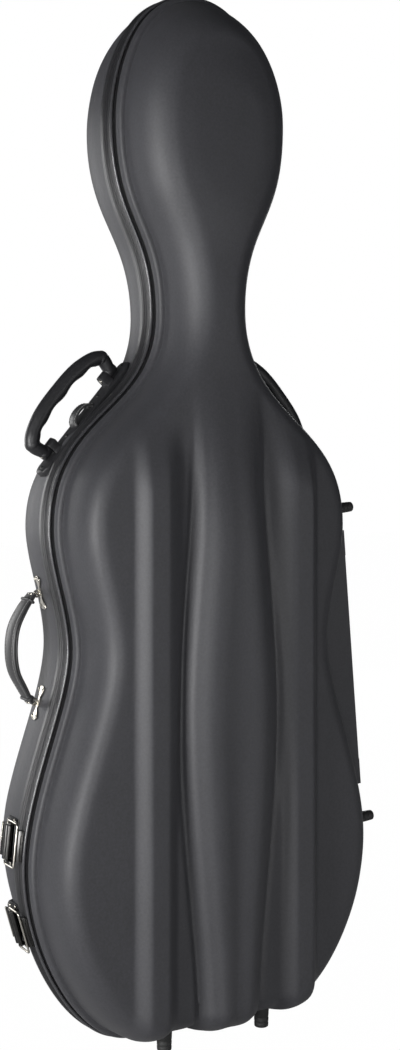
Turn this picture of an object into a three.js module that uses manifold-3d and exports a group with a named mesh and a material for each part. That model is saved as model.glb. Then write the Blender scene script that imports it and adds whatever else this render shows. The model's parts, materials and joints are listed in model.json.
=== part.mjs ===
// A hard case for a full-size cello: a domed rear shell and a ribbed lid that swings on a straight
// hinge at the waist, with its rims, latches, handles, studs, feet and padded inside.
// Millimetres. X runs to the right, Y to the back and Z up. The two shells meet in the plane Y = 0,
// and the outline's lowest point lies at the origin, on the centre line.
import * as THREE from "three";
import { mergeVertices } from "three/addons/utils/BufferGeometryUtils.js";
import Module from "manifold-3d";

const wasm = await Module();
wasm.setup();

// Outline of the case where the shells meet: half widths and the heights at which they lie. The
// bottom is level over its middle.
const CASE_HEIGHT = 1323;
const BOTTOM_HALF = 100;
const LOWER_HALF = 237;
const LOWER_HEIGHT = 228;
const WAIST_HALF = 176.5;
const WAIST_HEIGHT = 490;
const UPPER_HALF = 202.5;
const UPPER_HEIGHT = 641;
const NECK_HALF = 57.5;
const NECK_HEIGHT = 911;
const HEAD_HALF = 116;
const HEAD_HEIGHT = 1156;

// Depth of the rear shell behind the rim, and of the lid's front in front of it
const BASE_BODY_DEPTH = 150;
const BASE_BOTTOM_DEPTH = 88;
const BASE_NECK_DEPTH = 78;
const BASE_HEAD_DEPTH = 127;
const BASE_ROUND = 150;
const BASE_POWER = 2.3;
const BASE_BOTTOM_POWER = 1.6;
const BASE_RAKE = 30;
const BASE_TOP_RAKE = 16;
const BASE_RAKE_REACH = 220;
const LID_RAKE_REACH = 150;
const LID_BODY_DEPTH = 112;
const LID_NECK_DEPTH = 104;
const LID_HEAD_DEPTH = 106;
const LID_ROUND = 48;
const LID_POWER = 3;
const LID_RAKE = 14;
const LID_TOP_RAKE = 30;
const LID_CROWN = 5;
const PANEL_INSET = 46;

// Raised forms of the lid: two ribs, the bridge column between them, and the head's oval
const RIB_OUTER = 132;
const RIB_INNER = 71;
const RIB_SLOPE = 13;
const RIB_RISE = 17;
const RIB_FADE_FROM = 632;
const RIB_FADE_TO = 772;
const COLUMN_BOTTOM_HALF = 43;
const COLUMN_BRIDGE_HALF = 71;
const COLUMN_TOP_HALF = 52;
const COLUMN_BRIDGE_HEIGHT = 412;
const COLUMN_TOP_HEIGHT = 722;
const COLUMN_RISE = 29;
const COLUMN_SLOPE = 20;
const COLUMN_HOLLOW = 3;
const COLUMN_FADE_TO = 862;
const LOBE_RISE = 7;
const OVAL_HALF = 80;
const OVAL_LENGTH = 236;
const OVAL_HEIGHT = 1134;
const OVAL_RISE = 8;

// Walls and running gaps
const SHELL_WALL = 4;
const LID_WALL = 6;
const LINING_THICK = 8;
const LID_LINING_THICK = 6;
const GAP = 0.3;
const PLANE_GAP = 0.15;

// Rim profiles: how far they run in depth, and how far they stand proud of the wall
const BASE_RIM_DEPTH = 8;
const BASE_RIM_PROUD = 1.2;
const RIM_THICK = 5;
const RIDGE_DEPTH = 6;
const RIDGE_PROUD = 4;
const CHANNEL_DEPTH = 13;
const CHANNEL_PROUD = 1;
const PIPING_RADIUS = 2.2;
const RECESS_DEPTH = 7;
const RECESS_INSET = 4;
const BAND_DEPTH = 12;
const BAND_INSET = 7;
const SEAL_THICK = 3;
const SEAL_DEPTH = 7;

// Straight hinge that bridges the waist on the right
const HINGE_LOW = 285;
const HINGE_HIGH = 630;
const HINGE_CLEAR = 9.5;
const HINGE_KNUCKLES = 7;
const KNUCKLE_RADIUS = 4.5;
const HINGE_PIN_RADIUS = 2;
const HINGE_RUNNING = 0.4;
const LEAF_THICK = 3;
const BASE_LEAF_WIDTH = 46;
const LID_LEAF_WIDTH = 68;
const TAB_LENGTH = 34;
const WEB_REACH = 57;

// Strap handle on the left waist
const STRAP_LOW = 418;
const STRAP_HIGH = 557;
const STRAP_DEPTH = 40;
const STRAP_BOW = 50;
const STRAP_WIDTH = 26;
const STRAP_THICK = 6.5;
const STRAP_RING_RADIUS = 5;
const STRAP_RING_WIRE = 1.5;
const BRACKET_LENGTH = 44;
const BRACKET_WIDTH = 22;
const BRACKET_THICK = 1.6;
const EYE_RADIUS = 3.8;

// Moulded handles on both shoulders
const SHOULDER_SHARE = 0.511;
const SHOULDER_HEIGHT = THREE.MathUtils.lerp(UPPER_HEIGHT, NECK_HEIGHT, SHOULDER_SHARE);
const SHOULDER_DEPTH = 23;
const GRIP_SPAN = 156;
const GRIP_BOW = 37;
const GRIP_RADIUS = 10.5;
const GRIP_END_RADIUS = 7.5;
const FINGER_COUNT = 4;
const FINGER_DIP = 2.4;
const MOUNT_LENGTH = 190;
const MOUNT_WIDTH = 28;
const MOUNT_THICK = 5;
const LUG_RADIUS = 7;
const LUG_LENGTH = 12;
const PIVOT_STAND = 14;
const PIVOT_RADIUS = 3;
const LOOP_HALF = 19;
const LOOP_RISE = 11;
const LOOP_THICK = 3;
const LOOP_WIDTH = 18;

// Draw latches on the left of the lower bout
const LATCH_HEIGHTS = [253, 148];
const LATCH_LENGTH = 58;
const LATCH_WIDTH = 29;
const LATCH_FROM_RIM = 1.5;
const LATCH_PLATE_THICK = 1.5;
const LEVER_LENGTH = 42;
const LEVER_REACH = 25;
const LEVER_THICK = 2.4;
const LEVER_PIN_RADIUS = 1.8;
const LEVER_PIN_STAND = 7;
const LEVER_PIN_IN = 3.5;
const LEVER_EAR = 2;
const BAIL_WIRE = 1.3;
const BAIL_PIN_IN = 6.5;
const KEEPER_LENGTH = 38;
const KEEPER_STAND = 2.6;
const KEEPER_LIP = 3.4;
const KEEPER_FOOT = 16;

// Rubber studs for the side and feet for the bottom
const STUD_HEIGHTS = [660, 240];
const STUD_RADIUS = 9;
const STUD_TIP_RADIUS = 6.5;
const STUD_STAND = 22;
const LID_STUD_DEPTH = 72;
const BASE_STUD_DEPTH = 62;
const FOOT_SIDE = 73;
const FOOT_RADIUS = 10.5;
const FOOT_TIP_RADIUS = 8.5;
const FOOT_DROP = 7;
const LID_FOOT_DEPTH = 78;
const BASE_FOOT_DEPTH = 50;

// Inside: neck cradle and its strap, pads, end pin cup, bow holders and frog pockets
const CRADLE_LOW = 850;
const CRADLE_HIGH = 918;
const CRADLE_FRONT = 9;
const NOTCH_HALF = 24;
const NOTCH_DEPTH = 50;
const NECK_STRAP_LENGTH = 66;
const NECK_STRAP_WIDTH = 38;
const NECK_STRAP_THICK = 2.5;
const WAIST_PAD_HEIGHT = 482;
const WAIST_PAD_LENGTH = 170;
const WAIST_PAD_THICK = 34;
const SHOULDER_PAD_RISE = 15;
const SHOULDER_PAD_HEIGHT = SHOULDER_HEIGHT + SHOULDER_PAD_RISE;
const SHOULDER_PAD_LENGTH = 96;
const SHOULDER_PAD_THICK = 24;
const PAD_FRONT = 14;
const PAD_WIDTH = 84;
const PIN_CUP_RADIUS = 17;
const PIN_CUP_BORE = 9;
const PIN_CUP_DEPTH = 38;
const PIN_CUP_TOP = 72;
const BOW_SIDE = 96;
const BOW_BLOCK_HEIGHT = 594;
const BOW_BLOCK_LENGTH = 44;
const BOW_BLOCK_WIDTH = 44;
const BOW_BLOCK_FRONT = 86;
const BOW_NOTCH_HALF = 7;
const BOW_NOTCH_DEPTH = 12;
const SPINNER_LENGTH = 32;
const SPINNER_WIDTH = 13;
const SPINNER_THICK = 4;
const SPINNER_PIN_RADIUS = 3;
const FROG_POCKET_LOW = 92;
const FROG_POCKET_LENGTH = 110;
const FROG_POCKET_WIDTH = 44;
const FROG_POCKET_FRONT = 78;
const FROG_POCKET_WALL = 3;

const steel = new THREE.MeshStandardMaterial({ color: 0xc9c6bd, roughness: 0.25, metalness: 1 });
const leatherette = new THREE.MeshStandardMaterial({ color: 0x2c2c2f, roughness: 0.62, metalness: 0 });
const bindingPlastic = new THREE.MeshStandardMaterial({ color: 0x232325, roughness: 0.42, metalness: 0 });
const pipingPlastic = new THREE.MeshStandardMaterial({ color: 0x3a3a3d, roughness: 0.25, metalness: 0 });
const rubber = new THREE.MeshStandardMaterial({ color: 0x151515, roughness: 0.85, metalness: 0 });
const handlePlastic = new THREE.MeshStandardMaterial({ color: 0x1c1c1e, roughness: 0.4, metalness: 0 });
const strapLeather = new THREE.MeshStandardMaterial({ color: 0x2a2a2b, roughness: 0.55, metalness: 0 });
const plush = new THREE.MeshStandardMaterial({ color: 0x3b3c42, roughness: 0.95, metalness: 0 });

const caseGroup = new THREE.Group();

// Adds one named piece to the case, or to a group inside it.
function addPiece(name, geometry, material, parent = caseGroup) {
  const mesh = new THREE.Mesh(geometry, material);
  mesh.name = name;
  mesh.geometry.computeVertexNormals();
  parent.add(mesh);
  return mesh;
}

// Rises from 0 at "from" to 1 at "to", whichever of the two is larger.
function ramp(from, to, value) {
  const share = THREE.MathUtils.clamp((value - from) / (to - from), 0, 1);
  return share * share * (3 - 2 * share);
}

// Outline: six curves with upright or level ends, up the right side from the level bottom to the top.
// The shares say how far each curve's handles reach.
const handleShares = [
  { start: 0.46, end: 0.47 },
  { start: 0.35, end: 0.26 },
  { start: 0.32, end: 0.31 },
  { start: 0.55, end: 0.48 },
  { start: 0.47, end: 0.54 },
  { start: 0.36, end: 0.74 },
];
const CURVE_STEPS = [6, 4, 3, 6, 4, 4];
// Places of the lid's ribs and column, over which stations lie along the bottom.
const BOTTOM_PLACES = [COLUMN_BOTTOM_HALF, RIB_INNER, RIB_INNER + RIB_SLOPE, RIB_OUTER - RIB_SLOPE, RIB_OUTER];

function outlineCurves() {
  const knots = [
    new THREE.Vector2(BOTTOM_HALF, 0),
    new THREE.Vector2(LOWER_HALF, LOWER_HEIGHT),
    new THREE.Vector2(WAIST_HALF, WAIST_HEIGHT),
    new THREE.Vector2(UPPER_HALF, UPPER_HEIGHT),
    new THREE.Vector2(NECK_HALF, NECK_HEIGHT),
    new THREE.Vector2(HEAD_HALF, HEAD_HEIGHT),
    new THREE.Vector2(0, CASE_HEIGHT),
  ];
  return handleShares.map((share, i) => {
    const from = knots[i];
    const to = knots[i + 1];
    const leaves = from.clone();
    const arrives = to.clone();
    if (i === 0) leaves.x += share.start * (to.x - from.x);
    else leaves.y += share.start * (to.y - from.y);
    if (i === handleShares.length - 1) arrives.x -= share.end * (to.x - from.x);
    else arrives.y -= share.end * (to.y - from.y);
    return new THREE.CubicBezierCurve(from, leaves, arrives, to);
  });
}

// Where along the first curve a row that starts square to the rim crosses a place.
function timeOfPlace(curve, place) {
  let low = 0;
  let high = 1;
  for (let i = 0; i < 30; i++) {
    const t = (low + high) / 2;
    const at = curve.getPoint(t).x - (curve.getTangent(t).y * PANEL_INSET) / 2;
    if (at < place) low = t;
    else high = t;
  }
  return low;
}

// Rim stations round the whole outline: place (x, z) and outward direction (nx, nz).
function rimStations() {
  const level = [0, ...BOTTOM_PLACES.filter((place) => place < BOTTOM_HALF)];
  const right = level.map((x) => ({ x, z: 0, nx: 0, nz: -1 }));
  const curves = outlineCurves();
  curves.forEach((curve, c) => {
    const beyond = BOTTOM_PLACES.filter((place) => c === 0 && place > BOTTOM_HALF);
    const times = [0, ...beyond.map((place) => timeOfPlace(curve, place))];
    const from = times[times.length - 1];
    for (let j = 1; j < CURVE_STEPS[c]; j++) times.push(from + ((1 - from) * j) / CURVE_STEPS[c]);
    if (c === curves.length - 1) times.push(1);
    times.forEach((t) => {
      const p = curve.getPoint(t);
      const along = curve.getTangent(t);
      right.push({ x: p.x, z: p.y, nx: along.y, nz: -along.x });
    });
  });
  right[right.length - 1].nx = 0;
  const left = right.slice(1, -1).reverse().map((s) => ({ x: -s.x, z: s.z, nx: -s.nx, nz: s.nz }));
  return [...right, ...left];
}

const rim = rimStations();
const SPINE_LOW = 0.62 * LOWER_HEIGHT;
const SPINE_HIGH = CASE_HEIGHT - 0.9 * HEAD_HALF;

// Half width of the outline at a height, read off the rim stations.
function halfWidthAt(z) {
  for (let i = 0; i + 1 < rim.length / 2 + 1; i++) {
    const a = rim[i];
    const b = rim[i + 1];
    if (z > a.z && z <= b.z) return THREE.MathUtils.mapLinear(z, a.z, b.z, a.x, b.x);
  }
  return 0;
}

// Outward direction of the right side at a height.
function rimDirectionAt(z) {
  const step = 0.001 * CASE_HEIGHT;
  const slope = (halfWidthAt(z + step) - halfWidthAt(z - step)) / (2 * step);
  return new THREE.Vector2(1, -slope).normalize();
}

// A closed body from rings of points, joined in order, with the first and last ring closed up.
// "cyclic" joins the last ring back to the first instead.
function ringBody(rings, cyclic = false) {
  const count = rings[0].length;
  const points = rings.flat();
  const positions = points.flatMap((p) => [p.x, p.y, p.z]);
  const index = [];
  const bands = cyclic ? rings.length : rings.length - 1;
  for (let k = 0; k < bands; k++) {
    const here = k * count;
    const next = ((k + 1) % rings.length) * count;
    for (let i = 0; i < count; i++) {
      const j = (i + 1) % count;
      const [a, b, c, d] = [here + i, here + j, next + j, next + i];
      if (points[a].distanceTo(points[c]) <= points[b].distanceTo(points[d])) index.push(a, b, c, a, c, d);
      else index.push(a, b, d, b, c, d);
    }
  }
  return closedGeometry(positions, index);
}

// Merges shared points and drops the triangles that this flattens.
function closedGeometry(positions, index) {
  const raw = new THREE.BufferGeometry();
  raw.setAttribute("position", new THREE.Float32BufferAttribute(positions, 3));
  raw.setIndex(index);
  const merged = mergeVertices(raw, 1e-3);
  const old = merged.index.array;
  const kept = [];
  for (let i = 0; i < old.length; i += 3) {
    const [a, b, c] = [old[i], old[i + 1], old[i + 2]];
    if (a !== b && b !== c && a !== c) kept.push(a, b, c);
  }
  merged.setIndex(kept);
  return merged;
}

// Turns a geometry into a solid for joining and cutting, and back.
function solidFrom(geometry) {
  const bare = geometry.clone();
  bare.deleteAttribute("normal");
  bare.deleteAttribute("uv");
  const merged = mergeVertices(bare, 1e-4);
  return new wasm.Manifold(
    new wasm.Mesh({
      numProp: 3,
      vertProperties: new Float32Array(merged.attributes.position.array),
      triVerts: new Uint32Array(merged.index.array),
    }),
  );
}

function geometryFrom(solid) {
  const mesh = solid.getMesh();
  const geometry = new THREE.BufferGeometry();
  geometry.setAttribute("position", new THREE.Float32BufferAttribute(mesh.vertProperties, 3));
  geometry.setIndex(Array.from(mesh.triVerts));
  return geometry;
}

// A band that runs round the whole rim. The profile's points are [outward offset, depth].
function rimBand(profile) {
  const rings = profile.map(([offset, y]) =>
    rim.map((s) => new THREE.Vector3(s.x + s.nx * offset, y, s.z + s.nz * offset)),
  );
  return ringBody(rings, true);
}

// The height on the centre line towards which a rim station's row of points runs.
function spineHeight(s, spineLow) {
  return THREE.MathUtils.clamp(s.z - s.nz * PANEL_INSET, spineLow, SPINE_HIGH);
}

// How far the ends of a shell lean inward from the rim to its full depth, at a height.
function rakeAt(z, atBottom, atTop, reach) {
  const bottom = Math.max(1 - z / reach, 0);
  const top = Math.max(1 - (CASE_HEIGHT - z) / reach, 0);
  return atBottom * bottom - atTop * top;
}

// Points of one skin on a rim station's row: first at insets square to the rim, then at shares of
// the way from there to the spine. "depth" gives Y for a place and its inset from the rim.
function skinRings(insets, shares, depth, spineLow) {
  const rings = insets.map((inset) =>
    rim.map((s) => {
      const x = s.x - s.nx * inset;
      const z = s.z - s.nz * inset;
      return depth(x, z, inset, s);
    }),
  );
  const start = insets[insets.length - 1];
  shares.forEach((shareOf) => {
    rings.push(
      rim.map((s) => {
        const px = s.x - s.nx * start;
        const pz = s.z - s.nz * start;
        const sz = spineHeight(s, spineLow);
        const length = Math.hypot(px, pz - sz);
        const share = shareOf(length);
        const x = px * share;
        const z = sz + (pz - sz) * share;
        return depth(x, z, start + length * (1 - share), s);
      }),
    );
  });
  return rings;
}

// How far a rounded edge has risen at an inset: 0 at the rim and 1 where the round ends.
function roundedShare(inset, round, power) {
  const left = 1 - Math.min(Math.max(inset, 0) / round, 1);
  return Math.pow(1 - Math.pow(left, power), 1 / power);
}

// Rear shell: a plain dome, deepest at the body, boxier at the head.
function baseDepthAt(z) {
  const body = THREE.MathUtils.lerp(BASE_BOTTOM_DEPTH, BASE_BODY_DEPTH, ramp(0, 1.3 * LOWER_HEIGHT, z));
  const neck = THREE.MathUtils.lerp(body, BASE_NECK_DEPTH, ramp(UPPER_HEIGHT, NECK_HEIGHT, z));
  return THREE.MathUtils.lerp(neck, BASE_HEAD_DEPTH, ramp(NECK_HEIGHT, HEAD_HEIGHT, z));
}

function baseRoundAt(s) {
  return Math.min(BASE_ROUND, Math.hypot(s.x, s.z - spineHeight(s, SPINE_LOW)));
}

// How square the round of the rear shell's edge is: it softens towards the bottom.
function basePowerAt(z) {
  return THREE.MathUtils.lerp(BASE_BOTTOM_POWER, BASE_POWER, ramp(0.2 * LOWER_HEIGHT, 1.3 * LOWER_HEIGHT, z));
}

function basePoint(wall) {
  return (x, z, inset, s) => {
    const edge = BASE_RIM_DEPTH + GAP;
    const back = baseDepthAt(z) - wall;
    const share = roundedShare(inset - wall, baseRoundAt(s) - wall, basePowerAt(z));
    return new THREE.Vector3(x, edge + (back - edge) * share, z + share * rakeAt(z, BASE_RAKE, BASE_TOP_RAKE, BASE_RAKE_REACH));
  };
}

// Inset of the rear shell's outer wall at a depth, at a height on its side.
function baseInsetAt(z, y) {
  const share = (y - BASE_RIM_DEPTH - GAP) / (baseDepthAt(z) - BASE_RIM_DEPTH - GAP);
  const round = Math.min(BASE_ROUND, halfWidthAt(z));
  const power = basePowerAt(z);
  return round * (1 - Math.pow(1 - Math.pow(Math.max(share, 0), power), 1 / power));
}

const panelShares = [0.5, 0];
const shellInsets = [1.2, 8, 22, PANEL_INSET];

// A skin of the rear half at a distance from its outside. Its rows lie over those of every other
// skin, so that neighbours keep an even gap.
function baseSkin(wall) {
  const insets = [wall, ...shellInsets.filter((inset) => inset > 0.25 * wall).map((inset) => Math.max(inset, wall))];
  const rows = panelShares.map((share) => () => share);
  return skinRings(insets, rows, basePoint(wall), SPINE_LOW);
}

function makeBaseShell() {
  const outer = baseSkin(0);
  addPiece("base_shell", ringBody([...baseSkin(0).reverse(), ...baseSkin(SHELL_WALL)]), leatherette);
  return outer;
}

// Lid front: panel depth at a place, with ribs, column and oval raised on it.
function panelDepthAt(z) {
  const neck = THREE.MathUtils.lerp(LID_BODY_DEPTH, LID_NECK_DEPTH, ramp(UPPER_HEIGHT, NECK_HEIGHT, z));
  return THREE.MathUtils.lerp(neck, LID_HEAD_DEPTH, ramp(NECK_HEIGHT, HEAD_HEIGHT, z));
}

function columnHalfAt(z) {
  const lower = THREE.MathUtils.lerp(COLUMN_BOTTOM_HALF, COLUMN_BRIDGE_HALF, ramp(0, COLUMN_BRIDGE_HEIGHT, z));
  return THREE.MathUtils.lerp(lower, COLUMN_TOP_HALF, ramp(COLUMN_BRIDGE_HEIGHT, COLUMN_TOP_HEIGHT, z));
}

function columnRiseAt(x, z) {
  const half = columnHalfAt(z);
  const side = ramp(half, half - COLUMN_SLOPE, Math.abs(x));
  const hollow = COLUMN_HOLLOW * ramp(half * 0.6, 0, Math.abs(x));
  const fade = ramp(COLUMN_FADE_TO, UPPER_HEIGHT, z);
  return (COLUMN_RISE * side - hollow) * fade;
}

function ribRiseAt(x, z) {
  const away = Math.abs(x);
  const sides = Math.min(ramp(RIB_OUTER, RIB_OUTER - RIB_SLOPE, away), ramp(RIB_INNER, RIB_INNER + RIB_SLOPE, away));
  return RIB_RISE * sides * ramp(RIB_FADE_TO, RIB_FADE_FROM, z);
}

function ovalRiseAt(x, z) {
  const reach = Math.hypot(x / OVAL_HALF, (z - OVAL_HEIGHT) / (OVAL_LENGTH / 2));
  return OVAL_RISE * ramp(1.15, 0.85, reach);
}

function crownAt(x, z) {
  const half = Math.max(halfWidthAt(z), NECK_HALF);
  return LID_CROWN * (1 - Math.min((x / half) * (x / half), 1));
}

const LID_EDGE_DEPTH = RIDGE_DEPTH + CHANNEL_DEPTH + 2 * PIPING_RADIUS + RECESS_DEPTH;
const FLANK_DEPTH = LID_EDGE_DEPTH + BAND_DEPTH;

// "inner" is the wall that the inner skin lies inside the outer one; only the column shows there.
function lidPoint(wall, ribs) {
  return (x, z, inset, s) => {
    const raised = Math.max(columnRiseAt(x, z), ribs ? ribRiseAt(x, z) : 0) + ovalRiseAt(x, z);
    const front = panelDepthAt(z) + crownAt(x, z) + raised - wall;
    const share = roundedShare(inset - BAND_INSET - wall, LID_ROUND - BAND_INSET, LID_POWER);
    const depth = FLANK_DEPTH + (front - FLANK_DEPTH) * share;
    const lobe = ribs ? LOBE_RISE * (raised / COLUMN_RISE) * share * (1 - share) * 4 : 0;
    const lean = share * rakeAt(z, LID_RAKE, LID_TOP_RAKE, LID_RAKE_REACH);
    return new THREE.Vector3(x, -depth, z + lean + lobe * Math.min(s.nz, 0));
  };
}

// Rows of the lid's front bend towards the ribs and the column, so that edges stay crisp.
function nearShare(place) {
  return (length) => (length > place ? place / length : 1);
}

const flankInsets = [0, 1, 6, 17];

function lidOuterRings() {
  const bandProfile = [
    [0, LID_EDGE_DEPTH],
    [0.3 * BAND_INSET, LID_EDGE_DEPTH + 0.8 * BAND_DEPTH],
  ];
  const band = bandProfile.map(([inset, depth]) =>
    rim.map((s) => new THREE.Vector3(s.x - s.nx * inset, -depth, s.z - s.nz * inset)),
  );
  const flank = [...flankInsets.map((inset) => BAND_INSET + inset), PANEL_INSET];
  const rows = [
    nearShare(RIB_OUTER),
    nearShare(RIB_OUTER - RIB_SLOPE),
    nearShare(RIB_INNER + RIB_SLOPE),
    nearShare(RIB_INNER),
    nearShare(COLUMN_BOTTOM_HALF),
    () => 0,
  ];
  return [...band, ...skinRings(flank, rows, lidPoint(0, true), PANEL_INSET)];
}

const innerStep = 9;

// A skin of the lid's inside at a distance from its outside; of the raised forms only the column
// shows there.
function lidInnerSkin(wall) {
  const edge = BAND_INSET + wall;
  const rows = [nearShare(COLUMN_BRIDGE_HALF), nearShare(COLUMN_BOTTOM_HALF), () => 0];
  return skinRings([edge, edge + innerStep, PANEL_INSET], rows, lidPoint(wall, false), PANEL_INSET);
}

function makeLidShell() {
  const outer = lidOuterRings();
  const lipInset = RECESS_INSET + RIM_THICK;
  const lip = [
    [lipInset, LID_EDGE_DEPTH],
    [lipInset, LID_EDGE_DEPTH + 0.5 * BAND_DEPTH],
  ].map(([inset, depth]) =>
    rim.map((s) => new THREE.Vector3(s.x - s.nx * inset, -depth, s.z - s.nz * inset)),
  );
  const inner = lidInnerSkin(LID_WALL);
  const rings = [...outer.slice().reverse(), ...lip, ...inner].reverse();
  addPiece("lid_shell", ringBody(rings), leatherette);
  return outer;
}

// Soft linings: plush over foam inside each shell. Returns the room inside them, a gap clear.
function makeLinings() {
  const baseBack = SHELL_WALL + GAP;
  const baseFront = baseBack + LINING_THICK;
  const base = ringBody([...baseSkin(baseBack).reverse(), ...baseSkin(baseFront)]);
  addPiece("base_lining", base, plush);
  const lidBack = LID_WALL + GAP;
  const lidFront = lidBack + LID_LINING_THICK;
  const lid = ringBody([...lidInnerSkin(lidFront).reverse(), ...lidInnerSkin(lidBack)]);
  addPiece("lid_lining", lid, plush);
  const flat = (ring) => ring.map(() => new THREE.Vector3(0, ring[0].y, CASE_HEIGHT / 2));
  const baseRoom = baseSkin(baseFront + GAP);
  const lidRoom = lidInnerSkin(lidFront + GAP);
  return {
    base: solidFrom(ringBody([flat(baseRoom[0]), ...baseRoom].reverse())),
    lid: solidFrom(ringBody([flat(lidRoom[0]), ...lidRoom])),
  };
}

// Rims: the rear shell's binding, the seal inside it, the lid's ridged edge profile and its piping.
function makeRims() {
  addPiece(
    "base_rim",
    rimBand([
      [-RIM_THICK, PLANE_GAP],
      [-RIM_THICK, BASE_RIM_DEPTH],
      [0, BASE_RIM_DEPTH],
      [BASE_RIM_PROUD, 0.75 * BASE_RIM_DEPTH],
      [BASE_RIM_PROUD, PLANE_GAP],
    ]),
    bindingPlastic,
  );
  const sealOut = -RIM_THICK - 2 * GAP;
  addPiece(
    "rim_seal",
    rimBand([
      [sealOut - SEAL_THICK, -0.5 * SEAL_DEPTH],
      [sealOut - SEAL_THICK, SEAL_DEPTH],
      [sealOut, SEAL_DEPTH],
      [sealOut, -0.3 * SEAL_DEPTH],
    ]),
    rubber,
  );
  const channelStart = -RIDGE_DEPTH;
  const channelEnd = channelStart - CHANNEL_DEPTH;
  const seat = CHANNEL_PROUD - PIPING_RADIUS;
  const pipingEnd = channelEnd - 2 * PIPING_RADIUS;
  const tongue = GAP - LID_EDGE_DEPTH;
  addPiece(
    "lid_rim",
    rimBand([
      [-RIM_THICK, -PLANE_GAP],
      [0.75 * RIDGE_PROUD, -PLANE_GAP],
      [RIDGE_PROUD, 0.2 * channelStart],
      [RIDGE_PROUD, 0.75 * channelStart],
      [CHANNEL_PROUD, channelStart],
      [CHANNEL_PROUD, channelEnd],
      [seat, channelEnd],
      [seat, pipingEnd],
      [-RECESS_INSET, pipingEnd],
      [-RECESS_INSET, tongue],
      [-RECESS_INSET - SHELL_WALL, tongue],
    ]),
    bindingPlastic,
  );
  const sides = 5;
  const bead = [];
  for (let i = 0; i < sides; i++) {
    const turn = (2 * Math.PI * i) / sides;
    bead.push([
      seat + GAP + PIPING_RADIUS * (1 + Math.cos(turn)),
      channelEnd - PIPING_RADIUS * (1 + Math.sin(turn)) - GAP,
    ]);
  }
  addPiece("lid_piping", rimBand(bead), pipingPlastic);
}

// Whole outer forms of both halves, filled, used to seat what is fixed to them.
function filledForms(baseOuter, lidOuter) {
  const level = (ring, y) => ring.map((p) => new THREE.Vector3(p.x, y, p.z));
  const centre = (ring, y) => ring.map(() => new THREE.Vector3(0, y, 0.5 * CASE_HEIGHT));
  const base = [centre(baseOuter[0], 0), level(baseOuter[0], 0), ...baseOuter].reverse();
  const lid = [centre(lidOuter[0], 0), level(lidOuter[0], 0), ...lidOuter];
  return { base: solidFrom(ringBody(base)), lid: solidFrom(ringBody(lid)) };
}

// Cuts a solid back from its carrier, which is moved by the gap along a direction first.
function seatedOn(solid, carrier, direction, gap = GAP) {
  const shift = direction.clone().multiplyScalar(gap);
  return solid.subtract(carrier.translate([shift.x, shift.y, shift.z]));
}

function moved(geometry, matrix) {
  return geometry.clone().applyMatrix4(matrix);
}

// A flat plate from a shape drawn in X and Y, from "low" to "high" along Z.
function slab(points, low, high) {
  const shape = new THREE.Shape(points.map(([x, y]) => new THREE.Vector2(x, y)));
  const plate = new THREE.ExtrudeGeometry(shape, { depth: high - low, bevelEnabled: false });
  return plate.translate(0, 0, low);
}

// A box given by its lowest and highest corner.
function block(low, high) {
  const box = new THREE.BoxGeometry(high[0] - low[0], high[1] - low[1], high[2] - low[2]);
  return box.translate((high[0] + low[0]) / 2, (high[1] + low[1]) / 2, (high[2] + low[2]) / 2);
}

// A round bar along Z.
function bar(radius, low, high, sides = 12, endRadius = radius) {
  const cylinder = new THREE.CylinderGeometry(endRadius, radius, high - low, sides);
  return cylinder.rotateX(Math.PI / 2).translate(0, 0, (high + low) / 2);
}

function joined(...geometries) {
  return wasm.Manifold.union(geometries.map(solidFrom));
}

function largest(solid) {
  return solid.decompose().sort((a, b) => b.volume() - a.volume())[0];
}

// The frame of a place on the rim: X points outward in the plane of the rim, Z up along it.
// On the left side Y then points to the front, on the right side to the back.
function rimFrame(side, z, y) {
  const outward = rimDirectionAt(z);
  const xAxis = new THREE.Vector3(side * outward.x, 0, outward.y);
  const zAxis = new THREE.Vector3(-side * outward.y, 0, outward.x);
  const yAxis = new THREE.Vector3().crossVectors(zAxis, xAxis);
  const frame = new THREE.Matrix4().makeBasis(xAxis, yAxis, zAxis);
  return frame.setPosition(side * halfWidthAt(z), y, z);
}

// A place on the rear shell's outer wall.
function wallPoint(side, z, y) {
  const outward = rimDirectionAt(z);
  const inset = baseInsetAt(z, y);
  return new THREE.Vector3(side * (halfWidthAt(z) - outward.x * inset), y, z - outward.y * inset);
}

// Stands a slab's Z inward, so that a plate drawn in X and Y lies on the wall with its X along Z.
const uprightPlate = new THREE.Matrix4().makeBasis(
  new THREE.Vector3(0, 0, 1),
  new THREE.Vector3(0, 1, 0),
  new THREE.Vector3(-1, 0, 0),
);

function outwardOf(frame) {
  return new THREE.Vector3().setFromMatrixColumn(frame, 0);
}

// A closed body along a path of stations, each with a centre, two axes and a list of section points.
function loftBody(stations) {
  const rings = stations.map(({ centre, across, along, section }) =>
    section.map(([a, b]) => centre.clone().addScaledVector(across, a).addScaledVector(along, b)),
  );
  const cap = (ring) => {
    const middle = new THREE.Vector3();
    ring.forEach((p) => middle.addScaledVector(p, 1 / ring.length));
    return ring.map(() => middle);
  };
  const body = ringBody([cap(rings[0]), ...rings, cap(rings[rings.length - 1])]);
  return solidFrom(body).volume() > 0 ? body : ringBody([cap(rings[0]), ...rings, cap(rings.at(-1))].reverse());
}

function roundSection(radiusA, radiusB, sides) {
  return Array.from({ length: sides }, (_, i) => {
    const turn = (2 * Math.PI * i) / sides;
    return [radiusA * Math.cos(turn), radiusB * Math.sin(turn)];
  });
}

// Straight hinge at the waist: two leaves with knuckles, riveted tabs on the bouts, and a pin.
const hingeTop = new THREE.Vector3(UPPER_HALF + HINGE_CLEAR, 0, UPPER_HEIGHT);
const hingeFoot = new THREE.Vector3(LOWER_HALF + HINGE_CLEAR, 0, LOWER_HEIGHT);
const hingeDirection = hingeTop.clone().sub(hingeFoot).normalize();

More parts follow.
